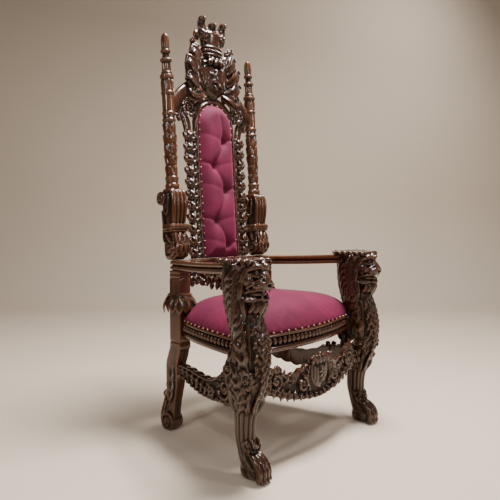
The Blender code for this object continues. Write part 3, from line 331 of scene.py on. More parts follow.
    def loft(self, rows, cuts):
        """Rings w cos a, d sin a about a leaning axis, fluted by 1 - c |cos 7a|^3, c read by height."""
        up, ahead, deep, wide = (column[:, None] for column in smooth_path(rows, 6).T)
        a = turns(40)[None, :]
        groove = 1 - np.interp(up, *cuts) * np.abs(np.cos(7 * a)) ** 3
        ring = (wide * np.cos(a) * groove, ahead + deep * np.sin(a) * groove, up + 0 * a)
        self.shell(self.frame(np.stack(ring, -1)))

    def joined(self):
        return np.concatenate(self.points), np.concatenate(self.faces)

    def placed(self, matrix):
        """Moves everything so far by a matrix."""
        turn, move = np.array(matrix.to_3x3()), np.array(matrix.translation)
        self.points = [points @ turn.T + move for points in self.points]


# Objects


def new_object(name, points, faces, material, slot):
    """A smooth mesh object that rides on the throne and takes the slot's finish."""
    mesh = bpy.data.meshes.new(name)
    mesh.from_pydata(points, [], faces)
    mesh.materials.append(material)
    mesh.shade_smooth()
    obj = bpy.data.objects.new(name, mesh)
    bpy.context.scene.collection.objects.link(obj)
    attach(obj, "root")
    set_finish(obj, slot)
    return obj


def baked(obj):
    """Applies the object's modifiers to its mesh."""
    graph = bpy.context.evaluated_depsgraph_get()
    mesh = bpy.data.meshes.new_from_object(obj.evaluated_get(graph))
    obj.modifiers.clear()
    obj.data = mesh
    mesh.shade_smooth()


def vertices(mesh):
    points = np.empty(len(mesh.vertices) * 3)
    mesh.vertices.foreach_get("co", points)
    return points.reshape(-1, 3)


def blurred(mesh, values, rounds):
    """Each value replaced, round by round, by the mean of its neighbours along the edges."""
    edges = np.empty(len(mesh.edges) * 2, int)
    mesh.edges.foreach_get("vertices", edges)
    i, j = edges.reshape(-1, 2).T
    count = len(values)
    degree = np.maximum(np.bincount(edges, minlength=count), 1)
    for _ in range(rounds):
        sums = [np.bincount(i, column[j], count) + np.bincount(j, column[i], count) for column in values.T]
        values = np.stack(sums, -1) / degree[:, None]
    return values


def mark_relief(obj, rounds=14, scale=0.0024):
    """Stores 0.5 + (p - blurred p) . n / scale, held to 0..1: under a half in hollows, over it on ridges."""
    mesh = obj.data
    points = vertices(mesh)
    normals = np.empty(len(points) * 3)
    mesh.vertex_normals.foreach_get("vector", normals)
    near = np.einsum("ij,ij->i", points - blurred(mesh, points, rounds), normals.reshape(-1, 3))
    relief = np.clip(0.5 + near / scale, 0, 1)[:, None]
    mark = mesh.attributes.new("relief", "FLOAT", "POINT")
    mark.data.foreach_set("value", blurred(mesh, relief, 1).ravel())


def carved(name, carving, voxel, material, slot="carved_wood"):
    """Fuses a carving's surfaces into one skin, marks its relief, thins its flats and levels its foot."""
    obj = new_object(name, *carving.joined(), material, slot)
    fuse = obj.modifiers.new("fuse", "REMESH")
    fuse.mode = "VOXEL"
    fuse.voxel_size = voxel
    ease = obj.modifiers.new("ease", "SMOOTH")
    ease.factor = 0.5
    ease.iterations = 1
    baked(obj)
    mark_relief(obj)
    thin = obj.modifiers.new("thin", "DECIMATE")
    thin.ratio = min(1.0, TRIANGLES[name] / (2 * len(obj.data.polygons)))
    baked(obj)
    obj.data.materials.clear()
    obj.data.materials.append(material)
    points = vertices(obj.data)
    points[:, 2] = np.maximum(points[:, 2], 0.0)
    obj.data.vertices.foreach_set("co", points.ravel())
    return obj


def mirrored(obj, name, *nodes):
    """The right-hand piece, made from the left-hand one, standing for its own nodes."""
    mesh = obj.data.copy()
    points = vertices(mesh) * (-1, 1, 1)
    mesh.vertices.foreach_set("co", points.ravel())
    mesh.flip_normals()
    twin = bpy.data.objects.new(name, mesh)
    bpy.context.scene.collection.objects.link(twin)
    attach(twin, "root")
    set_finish(twin, obj["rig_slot"])
    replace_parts(twin, *nodes)
    return twin


def back_lean():
    """The back's own upright frame leaned and set on its bottom rail."""
    return Matrix.Translation(BACK_FOOT) @ Matrix.Rotation(-BACK_LEAN, 4, "X")


# Finishes


def node_group(name, inputs, outputs):
    """An empty shader group with named sockets."""
    group = bpy.data.node_groups.new(name, "ShaderNodeTree")
    for socket, value in inputs.items():
        made = group.interface.new_socket(socket, in_out="INPUT", socket_type="NodeSocketFloat")
        made.default_value = value
    for socket in outputs:
        group.interface.new_socket(socket, in_out="OUTPUT", socket_type="NodeSocketFloat")
    return group, group.nodes.new("NodeGroupInput"), group.nodes.new("NodeGroupOutput")


def math_node(tree, operation, a, b=0.0, c=0.0, clamp=False):
    """One Math node; a, b and c are sockets or numbers."""
    node = tree.nodes.new("ShaderNodeMath")
    node.operation = operation
    node.use_clamp = clamp
    for socket, value in zip(node.inputs, (a, b, c)):
        if isinstance(value, bpy.types.NodeSocket):
            tree.links.new(value, socket)
        else:
            socket.default_value = value
    return node.outputs[0]


def noise_node(tree, scale, detail=4.0, stretch=(1, 1, 1), roughness=0.55):
    """Noise on the piece's own coordinates, drawn out by the stretch."""
    place = tree.nodes.new("ShaderNodeTexCoord")
    turn = tree.nodes.new("ShaderNodeMapping")
    turn.inputs["Scale"].default_value = stretch
    noise = tree.nodes.new("ShaderNodeTexNoise")
    noise.inputs["Scale"].default_value = scale
    noise.inputs["Detail"].default_value = detail
    noise.inputs["Roughness"].default_value = roughness
    tree.links.new(place.outputs["Object"], turn.inputs["Vector"])
    tree.links.new(turn.outputs["Vector"], noise.inputs["Vector"])
    return noise.outputs["Fac"]


def grain_group():
    """Mahogany's ribboned grain: long dark streaks with short pores among them."""
    group, _, out = node_group("Wood grain", {}, ("Streaks", "Pores"))
    long_streaks = noise_node(group, 9.0, 6.0, (5.0, 5.0, 0.6), 0.62)
    pores = noise_node(group, 160.0, 2.0, (3.0, 3.0, 0.35))
    group.links.new(math_node(group, "MULTIPLY_ADD", long_streaks, 2.4, -0.75, True), out.inputs["Streaks"])
    group.links.new(math_node(group, "POWER", pores, 2.0), out.inputs["Pores"])
    return group


def relief_group():
    """Splits the stored relief into hollows, darkened for the old polish and dust there and as painted shade,
    and rubbed ridges.
    """
    group, _, out = node_group("Carving relief", {}, ("Hollow", "Ridge"))
    stored = group.nodes.new("ShaderNodeAttribute")
    stored.attribute_name = "relief"
    for socket, low, high in (("Hollow", 0.57, 0.28), ("Ridge", 0.62, 0.95)):
        band = group.nodes.new("ShaderNodeMapRange")
        band.interpolation_type = "SMOOTHSTEP"
        band.inputs["From Min"].default_value = low
        band.inputs["From Max"].default_value = high
        group.links.new(stored.outputs["Fac"], band.inputs["Value"])
        group.links.new(band.outputs["Result"], out.inputs[socket])
    return group


def placed_group(tree, group):
    node = tree.nodes.new("ShaderNodeGroup")
    node.node_tree = group
    return node.outputs


def mixed(tree, factor, a, b, blend="MIX"):
    """One colour mix; factor, a and b are sockets or values."""
    node = tree.nodes.new("ShaderNodeMix")
    node.data_type = "RGBA"
    node.blend_type = blend
    for socket, value in ((node.inputs[0], factor), (node.inputs[6], a), (node.inputs[7], b)):
        if isinstance(value, bpy.types.NodeSocket):
            tree.links.new(value, socket)
        elif socket is node.inputs[0]:
            socket.default_value = value
        else:
            socket.default_value = (*value[:3], 1.0)
    return node.outputs[2]


def new_material(name):
    material = bpy.data.materials.new(name)
    material.use_nodes = True
    tree = material.node_tree
    return material, tree, tree.nodes["Principled BSDF"]


def bumped(tree, shader, height, strength, distance):
    bump = tree.nodes.new("ShaderNodeBump")
    bump.inputs["Strength"].default_value = strength
    bump.inputs["Distance"].default_value = distance
    tree.links.new(height, bump.inputs["Height"])
    tree.links.new(bump.outputs["Normal"], shader.inputs["Normal"])


def wood(name, colour, light, dark, gloss, groups):
    """Polished wood: grain between a light and a body colour, darkened in the hollows for their old stain and
    as painted shade, rubbed on the ridges.
    """
    material, tree, shader = new_material(name)
    grain = placed_group(tree, groups["grain"])
    relief = placed_group(tree, groups["relief"])
    body = mixed(tree, grain["Streaks"], colour, light)
    body = mixed(tree, math_node(tree, "MULTIPLY", grain["Pores"], 0.55), body, dark)
    body = mixed(tree, math_node(tree, "MULTIPLY", relief["Ridge"], 0.5), body, light)
    # Painted shade: the hollows go dark towards the hollow colour, on top of the old stain that stays in them
    body = mixed(tree, math_node(tree, "MULTIPLY", relief["Hollow"], 0.9), body, dark)
    tree.links.new(body, shader.inputs["Base Color"])
    worn = noise_node(tree, 14.0, 5.0)
    rough = math_node(tree, "MULTIPLY_ADD", worn, 0.16, gloss)
    rough = math_node(tree, "MULTIPLY_ADD", relief["Hollow"], 0.25, rough, True)
    tree.links.new(rough, shader.inputs["Roughness"])
    polish = math_node(tree, "MULTIPLY_ADD", relief["Hollow"], -0.62, 0.7, True)
    tree.links.new(polish, shader.inputs["Coat Weight"])
    shader.inputs["Coat Roughness"].default_value = 0.06
    shader.inputs["Specular IOR Level"].default_value = 0.22
    shader.inputs["Specular Tint"].default_value = (1.0, 0.85, 0.7, 1.0)
    bumped(tree, shader, grain["Pores"], 0.1, 0.0006)
    return material


def velvet(name, colour, bright, dark):
    """Cotton velvet: crushed patches of pile, a soft sheen and a fine nap."""
    material, tree, shader = new_material(name)
    patches = noise_node(tree, 7.0, 3.0, (1, 1, 1.4), 0.5)
    band = tree.nodes.new("ShaderNodeMapRange")
    band.inputs["From Min"].default_value = 0.38
    band.inputs["From Max"].default_value = 0.64
    tree.links.new(patches, band.inputs["Value"])
    pile = noise_node(tree, 420.0, 2.0)
    body = mixed(tree, band.outputs["Result"], dark, colour)
    body = mixed(tree, math_node(tree, "MULTIPLY", pile, 0.25), body, bright)
    tree.links.new(body, shader.inputs["Base Color"])
    tree.links.new(math_node(tree, "MULTIPLY_ADD", pile, 0.25, 0.62), shader.inputs["Roughness"])
    shader.inputs["Sheen Weight"].default_value = 0.4
    shader.inputs["Sheen Roughness"].default_value = 0.32
    shader.inputs["Sheen Tint"].default_value = (*bright[:3], 1.0)
    shader.inputs["Specular IOR Level"].default_value = 0.15
    bumped(tree, shader, pile, 0.35, 0.0008)
    return material


def brass(name, colour):
    """Antique brass: tarnish in patches over a soft polish."""
    material, tree, shader = new_material(name)
    tarnish = noise_node(tree, 60.0, 3.0)
    dull = tuple(0.45 * part for part in colour[:3])
    tree.links.new(mixed(tree, tarnish, colour, dull), shader.inputs["Base Color"])
    tree.links.new(math_node(tree, "MULTIPLY_ADD", tarnish, 0.3, 0.18), shader.inputs["Roughness"])
    shader.inputs["Metallic"].default_value = 1.0
    return material


def paper(name, colour):
    """The studio's matt sweep, with a faint unevenness."""
    material, tree, shader = new_material(name)
    cloud = noise_node(tree, 0.8, 2.0)
    tint = tuple(0.94 * part for part in colour[:3])
    tree.links.new(mixed(tree, cloud, colour, tint), shader.inputs["Base Color"])
    shader.inputs["Roughness"].default_value = 0.9
    shader.inputs["Specular IOR Level"].default_value = 0.1
    return material


FINISHES = {}


def finishes(context):
    """Makes each finish once, from the panel's colours."""
    if not FINISHES:
        look = context.scene.throne_finish
        groups = {"grain": grain_group(), "relief": relief_group()}
        # The hollows' colour: old polish and dust there, together with painted shade
        dark = look.hollow_dust_and_shade_colour
        FINISHES["carved"] = wood(
            "carved_mahogany", look.carved_colour, look.carved_light, dark, look.gloss, groups
        )
        FINISHES["turned"] = wood(
            "turned_mahogany", look.turned_colour, look.turned_light, dark, look.gloss, groups
        )
        FINISHES["velvet"] = velvet("wine_velvet", look.velvet_colour, look.velvet_light, look.velvet_dark)
        FINISHES["brass"] = brass("brass_nails", look.nail_colour)
    return FINISHES


# Front legs: places are (across, ahead, up) in thousandths of the leg's height, from its axis on the floor


def on_leg(places):
    """Places on the left front leg: across, ahead and up in thousandths of its height, from its axis."""
    return (-LEG_X, LEG_Y, 0) + places * (LEG_THOUSANDTH, -LEG_THOUSANDTH, LEG_THOUSANDTH)


def lion_leg(carving):
    """The whole monopod: body, head, mane, ruff, thigh, shin, paw and corner block."""
    carving.within(on_leg, LEG_THOUSANDTH)
    # height, place ahead, half depth, half width
    body = [
        (55, 45, 62, 43), (100, 22, 56, 41), (150, 2, 50, 39),
        (195, -4, 55, 40), (262, -3, 58, 42), (340, 4, 70, 47),
        (405, 12, 84, 53), (470, 18, 94, 57), (520, 24, 98, 58),
        (585, 38, 84, 54), (650, 34, 84, 53), (705, 6, 86, 54),
        (760, -20, 86, 56), (835, -38, 88, 58), (910, -36, 96, 60),
        (975, -34, 100, 60),
    ]
    carving.loft(body, ((90, 130, 360, 430), (0, 0.13, 0.13, 0)))
    lion_face(carving)
    lion_mane(carving)
    chest_ruff(carving)
    thigh_leaves(carving)
    lion_paw(carving)
    block = np.array((-LEG_X + 0.03, LEG_Y + 0.036))
    carving.box((*(block - 0.026), RAIL_BOTTOM), (*(block + 0.026), RAIL_TOP - 0.004))


def on_face(places):
    """Places on the lion's face: as on the leg, with the muzzle drawn in by a quarter past the cheeks."""
    back = 0.25 * np.maximum(0, places[:, 1] - 90)
    return on_leg(places - back[:, None] * Y)


def lion_face(carving):
    """Skull, furrowed brow, eyes, broad nose, snarling lips, teeth, tongue, jaw and beard."""
    carving.within(on_face, LEG_THOUSANDTH)
    carving.ball((0, 30, 925), (56, 80, 50))
    bridge = [(0, 60, 950), (0, 95, 940), (0, 126, 926), (0, 148, 908)]
    carving.tube(bridge, (26, 21, 21, 18), (18, 15, 14, 12))
    carving.ball((0, 148, 902), (24, 15, 13))
    carving.ball((0, 58, 848), (40, 62, 26))
    tongue = [(0, 40, 832), (0, 85, 842), (0, 118, 838)]
    carving.tube(tongue, (24, 24, 14), (12, 11, 6))
    jaw = [(0, 5, 804), (0, 55, 804), (0, 100, 808), (0, 132, 816)]
    carving.tube(jaw, (42, 40, 30, 16), (15, 14, 12, 10))
    for _ in carving.sides():
        carving.ball((12, 156, 898), (9, 8, 7))
        brow = [(4, 108, 950), (22, 106, 966), (46, 82, 962), (62, 46, 944)]
        carving.tube(brow, (8, 13, 13, 8))
        frown = [(6, 88, 968), (28, 84, 980), (52, 56, 974)]
        carving.tube(frown, (6, 10, 6))
        carving.ball((31, 96, 940), (12, 10, 10))
        bag = [(16, 112, 930), (32, 106, 924), (50, 84, 930), (60, 58, 936)]
        carving.tube(bag, (4, 6.5, 6, 4))
        fold = [(20, 128, 914), (36, 112, 904), (50, 86, 892), (54, 54, 872)]
        carving.tube(fold, (6, 9, 10, 6))
        carving.ball((48, 52, 906), (18, 36, 28))
        pad = [(10, 146, 890), (24, 136, 888), (36, 112, 884), (42, 82, 880)]
        carving.tube(pad, (14, 18, 16, 8), (14, 16, 14, 8), ripple=0.1)
        lip = [(2, 148, 878), (20, 140, 870), (38, 106, 866), (48, 62, 858),
               (46, 26, 842)]
        carving.tube(lip, (5, 7, 7, 8, 6))
        fang = [(21, 134, 872), (21, 134, 860), (20, 131, 848)]
        carving.tube(fang, (6, 4.5, 1.5), sides=8)
        tusk = [(18, 124, 824), (18, 126, 838), (17, 127, 848)]
        carving.tube(tusk, (6, 4.5, 1.5), sides=8)
        teeth = [(k * 6, 143 - 1.2 * k, 868) for k in (0.5, 1.5, 2.4)]
        carving.beads(teeth, (3.2, 3, 6))
        lower = [(2, 138, 824), (20, 127, 826), (36, 90, 827), (46, 45, 836)]
        carving.tube(lower, (4, 6, 6, 6))
        jowl = [(30, 96, 822), (44, 56, 822), (50, 10, 832)]
        carving.tube(jowl, (8, 14, 12), ripple=0.12)
        for start, end in (((52, 66, 960), (58, 6, 872)), ((56, 30, 900), (56, 12, 800)),
                           ((52, 24, 835), (46, 44, 740)), ((56, -4, 815), (50, 20, 705))):
            lock(carving, start, end, 17, 7)
        ear = [(56, 20, 952), (70, 6, 966), (66, -18, 974)]
        carving.leaf(ear, 36, 14, (0, 1, 0.3), 1)
        for k in range(3):
            out = 9 + 12 * k
            beard = [(out, 122 - 20 * k, 822), (out * 1.1, 120 - 20 * k, 795),
                     (out * 1.3, 106 - 20 * k, 770), (out * 0.9, 94 - 20 * k, 744 + 12 * k)]
            carving.tube(beard, (8, 11, 10, 3), ripple=0.16)


def lock(carving, start, end, width, wave, across=Y):
    """A wavy lock of hair: start + (end - start) t, swung out by wave sin(2 pi t), grooved by strands."""
    t = np.linspace(0, 1, 6)
    line = np.array(start) + np.outer(t, np.subtract(end, start))
    line += np.outer(np.sin(2 * np.pi * t), (0, 0, wave))
    line += np.outer(np.sin(np.pi * t), (0.5 * abs(wave), 0, 0))
    half = np.array((0.6, 1, 1.05, 0.9, 0.6, 0.15)) * width
    carving.tube(line, half, 0.72 * half, across, ripple=0.17, strands=5)


def mane_rear(up):
    """How far back the mane reaches: straight down the nape, then forward to the neck."""
    return np.interp(up, (560, 640, 740, 840), (-45, -70, -105, -128))


def lion_mane(carving):
    """Three overlapping rows of long locks on each side, and a row of them down the nape."""
    carving.within(on_leg, LEG_THOUSANDTH)
    for _ in carving.sides():
        for k in range(9):
            up = 975 - 26 * k
            lock(carving, (54, 50 - 6 * k, up), (68, -36, up - 66), 12, 8)
        for k in range(9):
            up = 955 - 34 * k
            end = mane_rear(up - 85)
            lock(carving, (58, end + 105, up), (54, end + 48, up - 85), 14, -10)
        for k in range(8):
            up = 945 - 40 * k
            end = mane_rear(up - 105)
            lock(carving, (52, end + 60, up), (34, end + 20, up - 105), 14.5, 10)
        for k in range(4):
            up = 785 - 30 * k
            lock(carving, (40, 48 - 4 * k, up), (56, 10, up - 75), 12.5, 8)
    for k in range(8):
        up = 945 - 42 * k
        for out in (-16, 16):
            start, end = mane_rear(up) + 8, mane_rear(up - 85) + 10
            lock(carving, (out, start, up), (out * 1.3, end, up - 85), 13, 0, X)
    ledge = [(0, -150, 985), (0, -70, 985), (0, 30, 985), (0, 82, 984)]
    carving.tube(ledge, (40, 62, 68, 50), (14.5, 14.5, 14.5, 13))
    crest = [(0, -140, 992), (0, -60, 997), (0, 30, 998), (0, 84, 992)]
    carving.leaf(crest, 120, 12, X, 5, 0.0)
    for _ in carving.sides():
        for k in range(6):
            ahead = -120 + 38 * k
            tip = [(40, ahead, 994), (64, ahead + 8, 990), (74, ahead + 14, 972)]
            carving.leaf(tip, 34, 14, Y, 1)


def chest_ruff(carving):
    """Rows of curled tufts down the breast, each rooted under the one above, with side tufts fading back."""
    ups = (400, 460, 525, 590, 655, 700, 755)
    reach = (88, 112, 127, 130, 119, 105, 80)
    for row in range(13):
        up = 752 - 29 * row
        ahead = np.interp(up, ups, reach)
        spread = 15.5 * math.sin(math.pi * (row + 3) / 16.5)
        for k in np.arange(-2.5 + 0.5 * (row % 2), 2.6):
            out = k * spread
            back = 4.5 * k * k
            turn = 10 if (row + int(k + 2.5)) % 2 else -10
            tuft = [(out * 0.8, ahead - back - 18, up + 28), (out - 0.3 * turn, ahead - back - 3, up + 10),
                    (out + 0.5 * turn, ahead - back + 4, up - 8), (out + turn, ahead - back - 2, up - 24),
                    (out + 0.2 * turn, ahead - back - 4, up - 30), (out - 0.1 * turn, ahead - back, up - 20)]
            carving.tube(tuft, (6, 9.5, 9, 7, 5, 4), ripple=0.14, strands=4, sides=10)


def thigh_leaves(carving):
    """A tall leaf up each flank with a rosette scroll behind it, and knee leaves all round over the reeds of
    the leg's body.
    """
    for s in carving.sides():
        flank = [(42, 0.0, 315), (52, 12, 380), (59, 6, 450), (60, -14, 525)]
        carving.leaf(flank, 96, 22, Y, 5, 0.0)
        for start, end in (((46, 56, 715), (52, 74, 470)), ((52, 32, 700), (58, 46, 450)),
                           ((52, 6, 670), (58, 14, 500)), ((48, -20, 640), (55, -22, 490))):
            lock(carving, start, end, 15, 0.0)
        for k in range(4):
            place = (58 + k, 34 - 26 * (k % 2), 560 + 40 * k)
            carving.spiral(place, 17, 5, 1.3 * s * (-1) ** k, 90 * k, 9, 5.5)
        feather = [(50, 44, 480), (62, 44, 560), (60, 26, 640), (52, 0, 705)]
        carving.leaf(feather, 82, 22, Y, 4)
        rear = [(30, -48, 360), (46, -56, 430), (46, -60, 520), (44, -46, 600)]
        carving.leaf(rear, 56, 20, Y, 4, 0.0)
        place = (60, -58, 498)
        carving.spiral(place, 36, 9, 1.4 * s, 60, 13, 8.5)
        place = (58, 60, 470)
        carving.spiral(place, 30, 9, -1.4 * s, 30, 13, 7.5)
        carving.fan(place, (28, 54), (-100, 150), 8, 26, 17)
    for a in turns(10):
        c, d = math.cos(a), math.sin(a)
        knee = [(40 * c, 56 * d, 300), (50 * c, 4 + 72 * d, 350), (60 * c, 12 + 88 * d, 400),
                (64 * c, 16 + 96 * d, 415)]
        carving.leaf(knee, 44, 16, (-d, c, 0), 2)


def lion_paw(carving):
    """Four knuckled toes with claws, a furred heel, and a leafy curl over the instep."""
    carving.ball((0, 20, 40), (36, 46, 48))
    carving.ball((0, 62, 50), (40, 54, 50))
    for x in (-31, -10.5, 10.5, 31):
        tip = 129 - 0.007 * x * x
        toe = [(x * 0.7, 36, 122), (x * 0.9, tip - 58, 112), (x, tip - 26, 84), (x, tip - 12, 50),
               (x, tip - 16, 14)]
        carving.tube(toe, (8, 10, 12.2, 12.8, 11.5), (8, 12, 17, 18, 13))
        claw = [(x, tip - 10, 36), (x, tip + 2, 26), (x, tip + 4, 10)]
        carving.tube(claw, (6, 6, 3), sides=10)
    curl = [(0, 34, 215), (0, 44, 180), (0, 60, 150), (0, 66, 156), (0, 61, 163)]
    carving.tube(curl, (12, 15, 18, 15, 10), (5, 7, 8, 6, 4))
    for _ in carving.sides():
        cuff = [(30, 30, 185), (38, 34, 150), (38, 50, 118)]
        carving.leaf(cuff, 44, 14, Y, 2)


# Rear legs and arms


def square_ring(centre, half, power=0.45, count=40):
    """A rounded square: (cos a, sin a) over max(|cos a|, |sin a|)^power, times the half sizes."""
    a = turns(count)
    shape = np.stack([np.cos(a), np.sin(a)], -1)
    shape = np.clip(shape / np.abs(shape).max(1, keepdims=True) ** power, -1, 1)
    return np.column_stack([shape * half + centre[:2], np.full(count, centre[2])])


def rear_post(carving):
    """A cabriole foot with a scrolled toe, a plain block, a cap of hanging leaves and a necked post."""
    # height, backward offset, half depth share, half width share
    foot = smooth_path([
        (0.012, 0.05, 0.6, 0.8), (0.05, 0.044, 0.66, 0.72), (0.1, 0.04, 0.72, 0.68),
        (0.15, 0.036, 0.88, 0.76), (0.212, 0.031, 1.1, 0.88), (0.285, 0.028, 1.14, 0.96),
        (0.335, 0.012, 1.12, 1.0), (0.372, 0.0, 1.0, 1.0),
    ], 6)
    w, d = POST_HALF
    carving.shell([
        square_ring((-POST_X, POST_Y + back, up), (w * wide, d * deep), 0.8) for up, back, deep, wide in foot
    ])
    carving.within(scaled((-POST_X, POST_Y, 0), 1))
    carving.tube([(-w, 0.06, 0.036), (w, 0.06, 0.036)], 0.041, 0.041, Y, 32, 3)
    for _ in carving.sides():
        carving.spiral((1.05 * w, 0.06, 0.038), 0.031, 0.008, -1.6, 100, 0.0045, 0.005, Y)
    for x in np.linspace(-0.8, 0.8, 4) * w:
        reed = [(x, 0.054, 0.186), (x, 0.078, 0.121), (x, 0.094, 0.076), (x, 0.1, 0.04)]
        carving.tube(reed, 0.0058, 0.0052)
    knob = [(0, 0.07, 0.125), (0, 0.092, 0.148), (0, 0.074, 0.168)]
    carving.tube(knob, (0.017, 0.019, 0.014), (0.01, 0.013, 0.01))
    for _ in carving.sides():
        out = 0.84 * w
        flank = [(out, 0.045, 0.13), (out, 0.034, 0.19), (out, 0.03, 0.26), (out, 0.016, 0.33)]
        carving.leaf(flank, 0.052, 0.01, Y, 4)
    # heights and swelling of the block, the necking and the post
    steps = [
        (0.362, 0), (0.366, 0), (0.385, 0), (0.391, -0.0022), (0.396, 0), (0.5, 0), (0.53, 0), (0.575, 0),
        (0.58, 0.006), (0.59, 0.006), (0.596, 0), (0.655, 0), (0.66, -0.0025), (0.665, 0), (0.672, 0),
        (0.677, -0.0025), (0.682, 0), (POST_TOP, 0),
    ]
    carving.shell([square_ring((-POST_X, POST_Y, up), (w + out, d + out), 1.0) for up, out in steps])
    for k, a in enumerate(turns(12) + math.pi / 4):
        square = max(abs(math.cos(a)), abs(math.sin(a)))
        out = np.array((math.cos(a) / square, math.sin(a) / square))
        low, flare = (0.515, 0.021) if k % 3 else (0.508, 0.015)
        cap = ((0.584, 0.003), (0.562, 0.6 * flare), (0.54, flare), (low, 1.05 * flare))
        places = [(*(out * (np.array((w, d)) + reach)), up) for up, reach in cap]
        across = (-math.sin(a), math.cos(a), 0) if square > 0.75 else (-out[1], out[0], 0)
        carving.leaf(places, 0.041, 0.013, across, 1, 0.12, 0.45)


def moulded(line, section, out_of):
    """Carries a section (out, up) along a line of (x, y) with outward normals, as one closed grid."""
    line, section = np.asarray(line, float), np.asarray(section, float)
    normal = np.asarray(out_of, float)
    rings = np.empty((len(line), len(section), 3))
    rings[..., :2] = line[:, None, :2] + normal[:, None] * section[None, :, :1]
    rings[..., 2] = line[:, None, 2] + section[None, :, 1]
    return rings


def arm_section():
    """Two round mouldings, one over the other, with a deep hollow between, mirrored about the middle."""
    w, t = 0.028, ARM_THICKNESS
    a = np.linspace(-0.5, 0.5, 9) * np.pi
    upper = np.column_stack([0.66 * w + 0.34 * w * np.cos(a), -0.23 * t - 0.23 * t * -np.sin(a)])[::-1]
    lower = np.column_stack([0.7 * w + 0.3 * w * np.cos(a), -0.77 * t - 0.21 * t * -np.sin(a)])[::-1]
    hollow = np.array([(0.55 * w, -0.49 * t), (0.52 * w, -0.515 * t), (0.56 * w, -0.545 * t)])
    side = np.concatenate([upper, hollow, lower])
    return np.concatenate([side, side[::-1] * (-1, 1)])


def moulded_arm(carving):
    """The arm's section carried level over the post and rising to the lion's ledge, with rounded ends."""
    rear, front = POST_Y + 0.034, LEG_Y + 0.044
    t = np.linspace(0, 1, 60)
    ease = np.clip((t - 0.14) / 0.86, 0, 1)
    y = rear + (front - rear) * t
    x = -POST_X + (POST_X - LEG_X) * ease
    low, high = POST_TOP + GAP + ARM_THICKNESS, LEG_HEIGHT - 0.017
    top = low + (high - low) * ease**1.5
    section = arm_section()
    shrink = np.minimum(1, 0.9 + 3.5 * t)[:, None]
    rings = np.empty((len(t), len(section), 3))
    rings[..., 0] = x[:, None] + section[:, 0] * shrink
    rings[..., 1] = y[:, None]
    rings[..., 2] = top[:, None] + section[:, 1] * shrink - (1 - shrink) * 0.02
    carving.shell(rings)


# Seat


def seat_half(y):
    """Half the seat's width: a straight taper from the posts to the front legs, bowed by 4t(1-t)."""
    t = (0.19 - y) / (0.19 + 0.214)
    return 0.281 + (0.374 - 0.281) * t + 0.014 * np.maximum(0, 4 * t * (1 - t))


def seat_front(x):
    """The front rail's line, bowed forward as x^2."""
    return LEG_Y - 0.028 + 0.052 * (np.asarray(x) / 0.338) ** 2


def rail_section():
    """From the foot: a broad round moulding, a step for the beads, a slim moulding and a flat top."""
    h = RAIL_TOP - RAIL_BOTTOM
    a = np.linspace(-0.5, 0.5, 7) * np.pi
    foot = np.column_stack([-0.006 + 0.006 * np.cos(a), 0.17 * h + 0.17 * h * np.sin(a)])
    bead_seat = np.array([(-0.01, 0.36 * h), (-0.01, 0.84 * h)])
    upper = np.column_stack([-0.0045 + 0.0045 * np.cos(a), 0.925 * h + 0.07 * h * np.sin(a)])
    return np.concatenate([foot, bead_seat, upper, [(-0.034, h), (-0.034, 0)]])


def along(line, pitch, margin=0.0):
    """Points spaced evenly by about the pitch along a line, with the unit directions there."""
    line = np.asarray(line, float)
    walked = np.concatenate([[0], np.cumsum(np.linalg.norm(np.diff(line, axis=0), axis=1))])
    count = max(2, int(round((walked[-1] - 2 * margin) / pitch)) + 1)
    at = np.linspace(margin, walked[-1] - margin, count)
    places = np.column_stack([np.interp(at, walked, column) for column in line.T])
    return places, unit(np.gradient(places, axis=0))


def front_line(count=41):
    x = np.linspace(-0.316, 0.316, count)
    return np.column_stack([x, seat_front(x), np.full(count, RAIL_BOTTOM)])


def side_line(count=25):
    y = np.linspace(0.19, -0.19, count)
    return np.column_stack([-seat_half(y), y, np.full(count, RAIL_BOTTOM)])


def outward(line):
    """Unit normals of a line to its outer side, away from the seat's middle."""
    way = unit(np.gradient(line[:, :2], axis=0))
    normal = np.column_stack([way[:, 1], -way[:, 0]])
    facing = np.sign(np.einsum("ij,ij->i", normal, line[:, :2]))
    return normal * facing[:, None]


def beaded_rail(carving, line):
    """The rail's moulding with a row of beads on its step."""
    carving.shell(moulded(line, rail_section(), outward(line)))
    places, _ = along(line, 0.024, 0.012)
    out = outward(places)
    places[:, :2] -= 0.0065 * out
    places[:, 2] += 0.61 * (RAIL_TOP - RAIL_BOTTOM)
    carving.beads(places, (0.0102, 0.0082, 0.23 * (RAIL_TOP - RAIL_BOTTOM)), 16, 11)


def seat_cushion(puff):
    """Rings of the seat's outline, shrunk to the crown as cos v while they rise as sin v."""
    rear, base = 0.207, RAIL_TOP + GAP
    y = np.linspace(-0.205, rear, 20)
    x = np.linspace(0.33, -0.33, 40)
    left = np.column_stack([-seat_half(y) + 0.008, y])
    front = np.column_stack([x, seat_front(x) + 0.01])
    rear_x = np.linspace(-0.262, 0.262, 30)[1:-1]
    back = np.column_stack([rear_x, np.full(28, rear)])
    outline = np.concatenate([left[::-1] * (-1, 1), front, left, back])
    middle = np.array((0.0, -0.035))
    v = np.linspace(0, 0.5, 24) * np.pi
    shrink = np.cos(v) ** 0.72
    rise = np.sin(v) ** 0.86
    rings = np.empty((len(v), len(outline), 3))
    rings[..., :2] = middle + (outline - middle) * shrink[:, None, None]
    rings[..., 2] = base + puff * rise[:, None]
    return closed_grid(rings)


